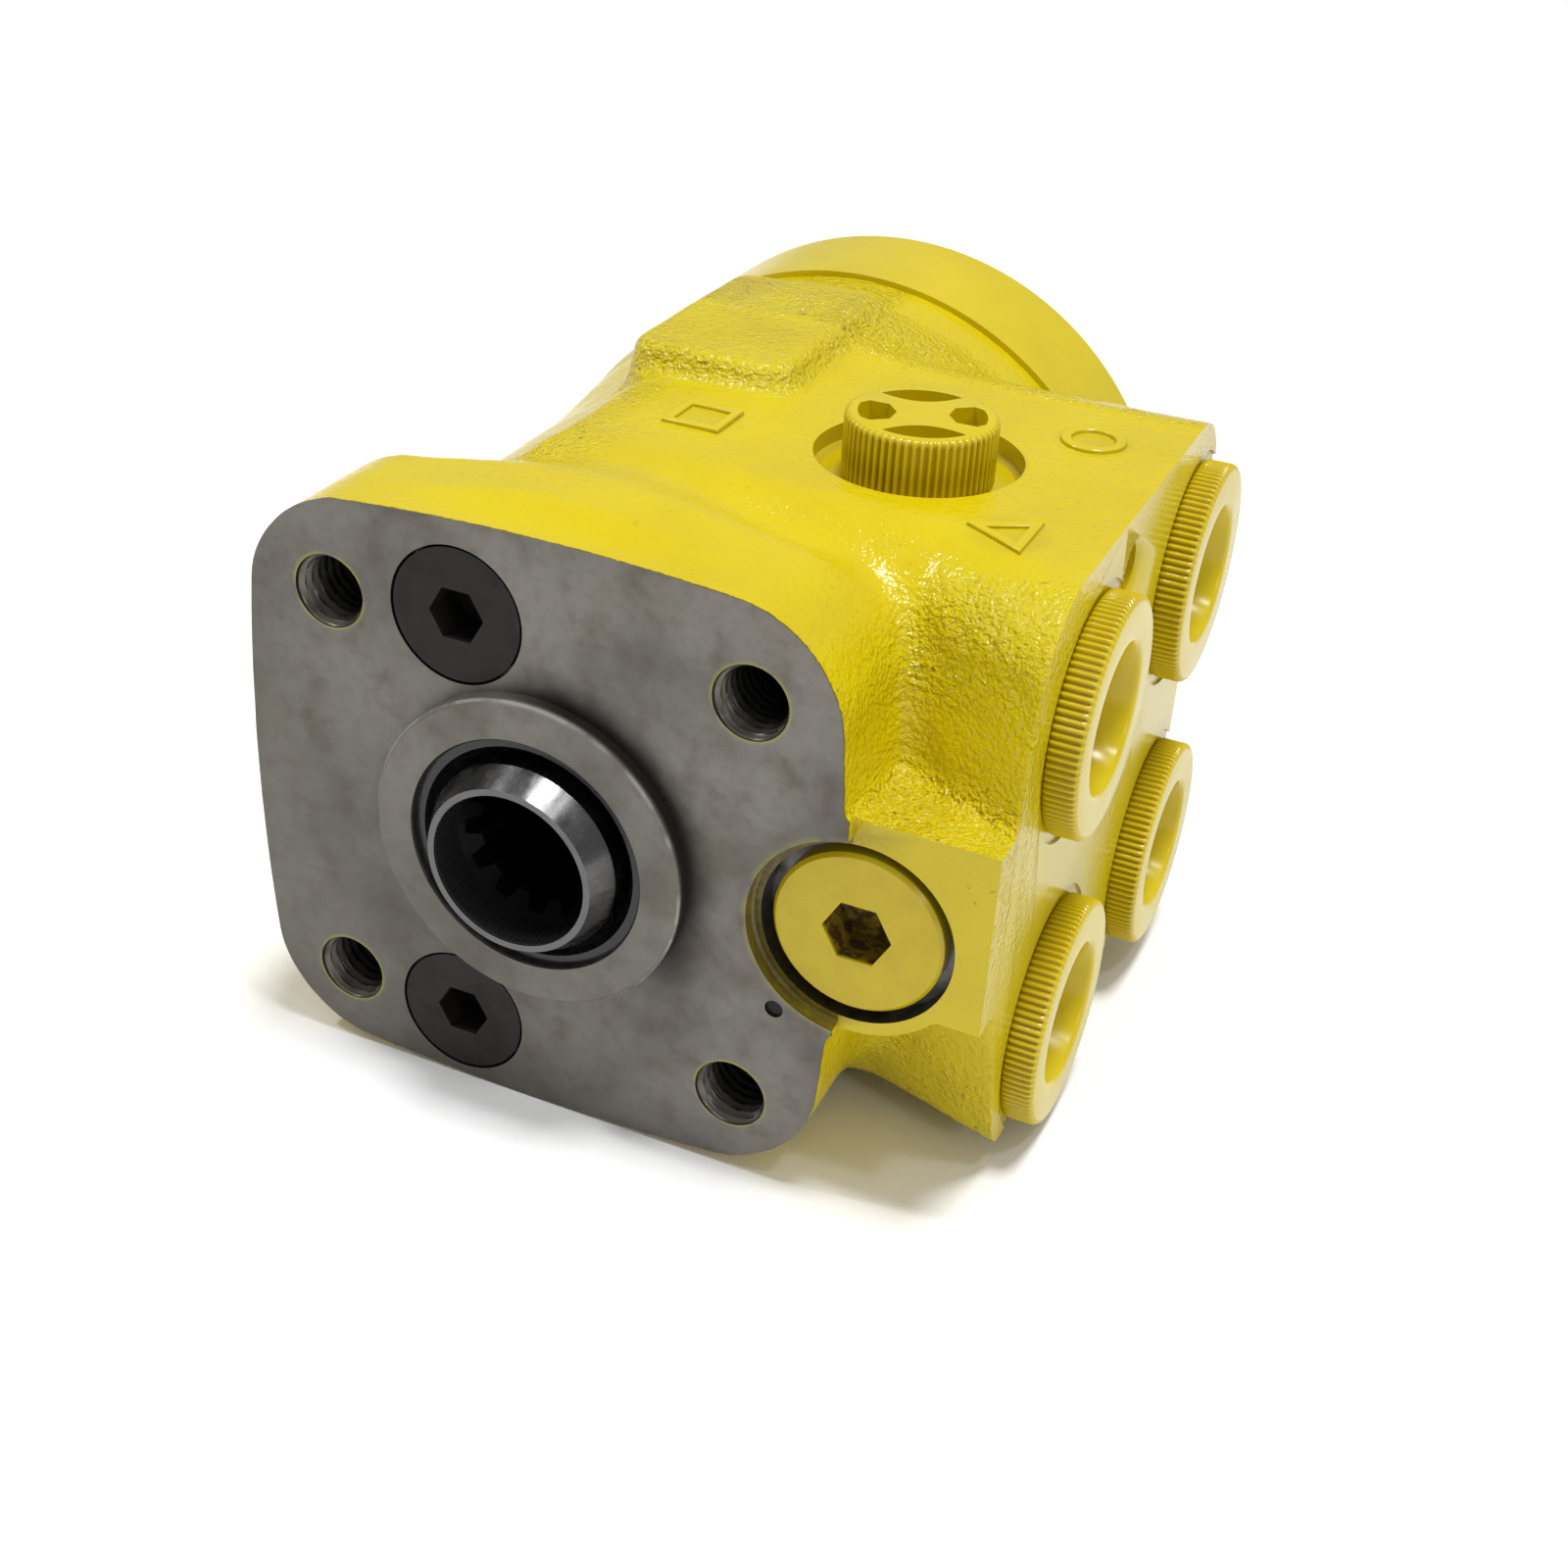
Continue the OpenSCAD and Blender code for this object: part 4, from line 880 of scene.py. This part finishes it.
# Upright cap: a knurled drum on a stem, its ribs a little uneven.
def signalCapShape(c, centre):
    r, height, edge = c["radius"], c["height"], c["edge"]
    profile = [(0, -c["stemLength"]), (c["stem"] - 0.5, -c["stemLength"]), (c["stem"], -c["stemLength"] + 0.6),
        (c["stem"], 0.05), (r - 0.6, 0.05), (r - 0.1, 0.3)]
    profile += [(r, h) for h in np.linspace(0.6, height - 1.0, 8)]
    profile += [(r - edge + edge * math.cos(a), height - edge + edge * math.sin(a))
        for a in np.linspace(0, math.pi / 2, 6)[1:]]
    profile.append((0, height))
    radii, along = np.array(profile).T
    around = c["ribs"] * 8
    angle = np.arange(around) * 2 * math.pi / around
    uneven = 0.75 + 0.25 * np.sin(angle * 7 + 1) * np.sin(angle * 3)
    side, corner = (radii > r - 0.2) & (along < height - 0.6), (radii > r - 0.55) & (along >= height - 0.6)
    groove = (side + 0.5 * corner)[:, None] * knurl(angle, c["ribs"])
    table = radii[:, None] - c["ribDepth"] * groove * uneven
    return (turnedPoints(table, along, centre, "z", around), gridFaces(len(along), around, False, True)), groove


# the groove mask darkens the grooves of this cap too, as painted shade
shape, groove = signalCapShape(signalCap, signalPort)
signalPiece = newObject("cap_signal.knurled", shape, capPaint, marks={"groove": groove})
cutAway(signalPiece, signalPockets(signalCap, signalPort), capPaint, "pockets")
finishPiece(signalPiece, "cap_signal_body", 45)
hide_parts("cap_signal")


# Raised mark: a band that follows a polygon, wider at its foot than at its top.
def bandShape(c, bottom, top):
    corners, outer, inner = c["corners"], c["outer"], c["inner"]
    angle = np.arange(corners) * 2 * math.pi / corners + math.pi / corners
    ring = np.column_stack([np.cos(angle), np.sin(angle)])
    profile = [(outer + 0.35, bottom), (outer, top), (inner + 0.1, top), (inner - 0.25, bottom)]
    points = np.concatenate([np.column_stack([ring * r, np.full(corners, h)]) for r, h in profile])
    return points + [*c["place"], 0], gridFaces(len(profile), corners, True, True)


# top of the skin under a mark
def skinTop(place, reach=5, lowest=40):
    near = np.hypot(castPoints[:, 0] - place[0], castPoints[:, 1] - place[1]) < reach
    return float(castPoints[near & (castPoints[:, 2] > lowest), 2].mean())


bands, foot = [], []
for mark in portMarks.values():
    top = skinTop(mark["place"])
    bands.append(bandShape(mark, top - 0.5, top + 0.5))
    # the foot of each mark is darker
    foot.append(np.repeat((0.9, 0, 0, 0.9), mark["corners"]))
markPiece = newObject("portMarks", joined(*bands), castPaint, marks={"grimeAndShade": np.concatenate(foot)})
soften = markPiece.modifiers.new("soften", "BEVEL")
soften.width, soften.segments, soften.limit_method = 0.15 * mm, 2, "ANGLE"
finishPiece(markPiece, "housing_body", 60)

# thin steel shell round the shaft seal, just inside the pilot ring
sealShell = {"outer": 16.30, "inner": 15.95, "front": -1.5, "back": 0.4, "outerEdge": 0.15, "innerEdge": 0.12}
c = sealShell
ringProfile = [(c["outer"], c["back"]), (c["outer"], c["front"] + c["outerEdge"]),
    (c["outer"] - c["outerEdge"], c["front"]), (c["inner"] + c["innerEdge"], c["front"]),
    (c["inner"], c["front"] + c["innerEdge"]), (c["inner"], c["back"])]
shell = newObject("sealShell", turned(ringProfile, around=128, closed=True), boreSteel)
finishPiece(shell, "housing_body", 40)
print("signal cap, marks and seal shell made")


# the valve springs, each made at one length; on the unit each shortens from its fixed end as the valve lifts
valveSprings = {
    "upper_shock": {"wire": 0.6, "turns": 5, "travel": 1.5},
    "lower_shock": {"wire": 0.6, "turns": 5, "travel": 1.5},
    "relief": {"wire": 0.75, "turns": 5, "travel": 2.0},
}


# A round wire carried along a helix: the two end coils lie close and the others climb evenly. The first
# and last rings shrink to a point, which closes the ends.
def coil(low, high, wire, turns, steps=36, sides=12):
    turn = np.linspace(0, turns, turns * steps + 1)
    height, endCoil = (high - low)[1] - 2 * wire, 2.1 * wire
    climb = np.interp(turn, [0, 1, turns - 1, turns], [0, endCoil, height - endCoil, height])
    turn, climb = (np.concatenate([v[:1], v, v[-1:]]) for v in (turn, climb))
    thick = np.full(len(turn), wire)
    thick[[0, -1]] = 0
    across = np.arange(sides) * 2 * math.pi / sides
    radius = (high - low)[0] / 2 - wire + np.outer(thick, np.cos(across))
    along = low[1] + wire + climb[:, None] + np.outer(thick, np.sin(across))
    angle = turn[:, None] * 2 * math.pi
    middle = (low + high) / 2
    points = np.stack([middle[0] + radius * np.cos(angle), along, middle[2] + radius * np.sin(angle)], -1)
    return points.reshape(-1, 3), gridFaces(len(turn), sides, False, True)


for valve, c in valveSprings.items():
    low, high = (np.array(end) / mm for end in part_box(valve + "_spring"))
    piece = newObject(valve + "Spring", coil(low, high, c["wire"], c["turns"]), springSteel)
    finishPiece(piece, "housing_body", 60)
    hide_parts(valve + "_spring")
    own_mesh(piece)
print("valve springs made")


# the frame's own parts take the finish of their slot, apart from two with a finish of their own
finishes = {
    "yellow_paint": flatPaint, "bare_iron": faceIron, "dark_steel": plugSteel, "bright_steel": brightSteel,
    "spring_steel": springSteel, "bronze": bronze, "black_rubber": blackRubber, "cap_plastic": capPaint,
}
slots = {part["node"]: part["material_slot"] for part in frame["record"]["subparts"]}
ownFinish = {"spool": spoolSteel, "relief_plug": plugPaint}
for name, node in frame["nodes"].items():
    node.data.materials.clear()
    node.data.materials.append(ownFinish.get(name) or finishes[slots[name]])
print("frame parts finished")


look = {
    "place": (0.1140, -0.1966, 0.1478), "azimuth": 22.16, "elevation": 30.76, "roll": 3.68, "lens": 48.21,
    # The unit stands on the flange's lower edge and the rear cover, so the floor falls a little towards +Y.
    "floorReach": 6000, "floorFront": -0.04125, "floorSlope": -0.0503, "floorColour": (0.92, 0.92, 0.92),
    "world": 0.36, "sun": 2.35, "sunFrom": (0.12, 0.04, 1), "sunWidth": 14, "target": (0, 0.05, 0),
}
# place in metres, width and power
lights = {
    "keyLight": ((-0.52, -0.12, 0.78), 0.08, 2.2),
    "rightLight": ((0.42, -0.14, 0.85), 0.09, 0.9),
    "sideLight": ((0.80, -0.45, 0.45), 0.16, 1.0),
}

corners = np.array([[-1, -1], [1, -1], [1, 1], [-1, 1]], float) * look["floorReach"]
floorPoints = np.column_stack([corners, look["floorFront"] / mm + look["floorSlope"] * corners[:, 1]])
floorWhite = Shader("floorWhite", Roughness=0.9, Base_Color=(*look["floorColour"], 1)).material
floor = newObject("floor", (floorPoints, np.array([[0, 1, 2, 3]])), floorWhite, weld=False)


def addLamp(name, lamp, place, target):
    obj = bpy.data.objects.new(name, lamp)
    obj.location = place
    obj.rotation_euler = (Vector(target) - Vector(place)).to_track_quat("-Z", "Y").to_euler()
    bpy.context.scene.collection.objects.link(obj)


for name, (place, size, power) in lights.items():
    lamp = bpy.data.lights.new(name, "AREA")
    lamp.shape, lamp.size, lamp.energy = "DISK", size, power
    addLamp(name, lamp, place, look["target"])
sun = bpy.data.lights.new("overheadSun", "SUN")
sun.energy, sun.angle = look["sun"], math.radians(look["sunWidth"])
addLamp("overheadSun", sun, look["sunFrom"], (0, 0, 0))

world = bpy.data.worlds.new("studio")
world.use_nodes = True
background = world.node_tree.nodes["Background"]
background.inputs["Color"].default_value = (1, 1, 1, 1)
background.inputs["Strength"].default_value = look["world"]
bpy.context.scene.world = world
bpy.context.scene.view_settings.view_transform = "Standard"

# The camera's columns are its right, up and back directions, turned by the roll about the view line.
azimuth, elevation, roll = (math.radians(look[angle]) for angle in ("azimuth", "elevation", "roll"))
flat = math.cos(elevation)
back = Vector((math.sin(azimuth) * flat, -math.cos(azimuth) * flat, math.sin(elevation)))
level = Vector((0, 0, 1)).cross(back).normalized()
rise = back.cross(level)
right = math.cos(roll) * level + math.sin(roll) * rise
up = math.cos(roll) * rise - math.sin(roll) * level
lens = bpy.data.cameras.new("camera")
lens.lens, lens.sensor_width, lens.sensor_fit = look["lens"], 36, "HORIZONTAL"
camera = bpy.data.objects.new("camera", lens)
turn = Matrix((right, up, back)).transposed()
camera.matrix_world = Matrix.Translation(look["place"]) @ turn.to_4x4()
bpy.context.scene.collection.objects.link(camera)
bpy.context.scene.camera = camera
print("stage set")
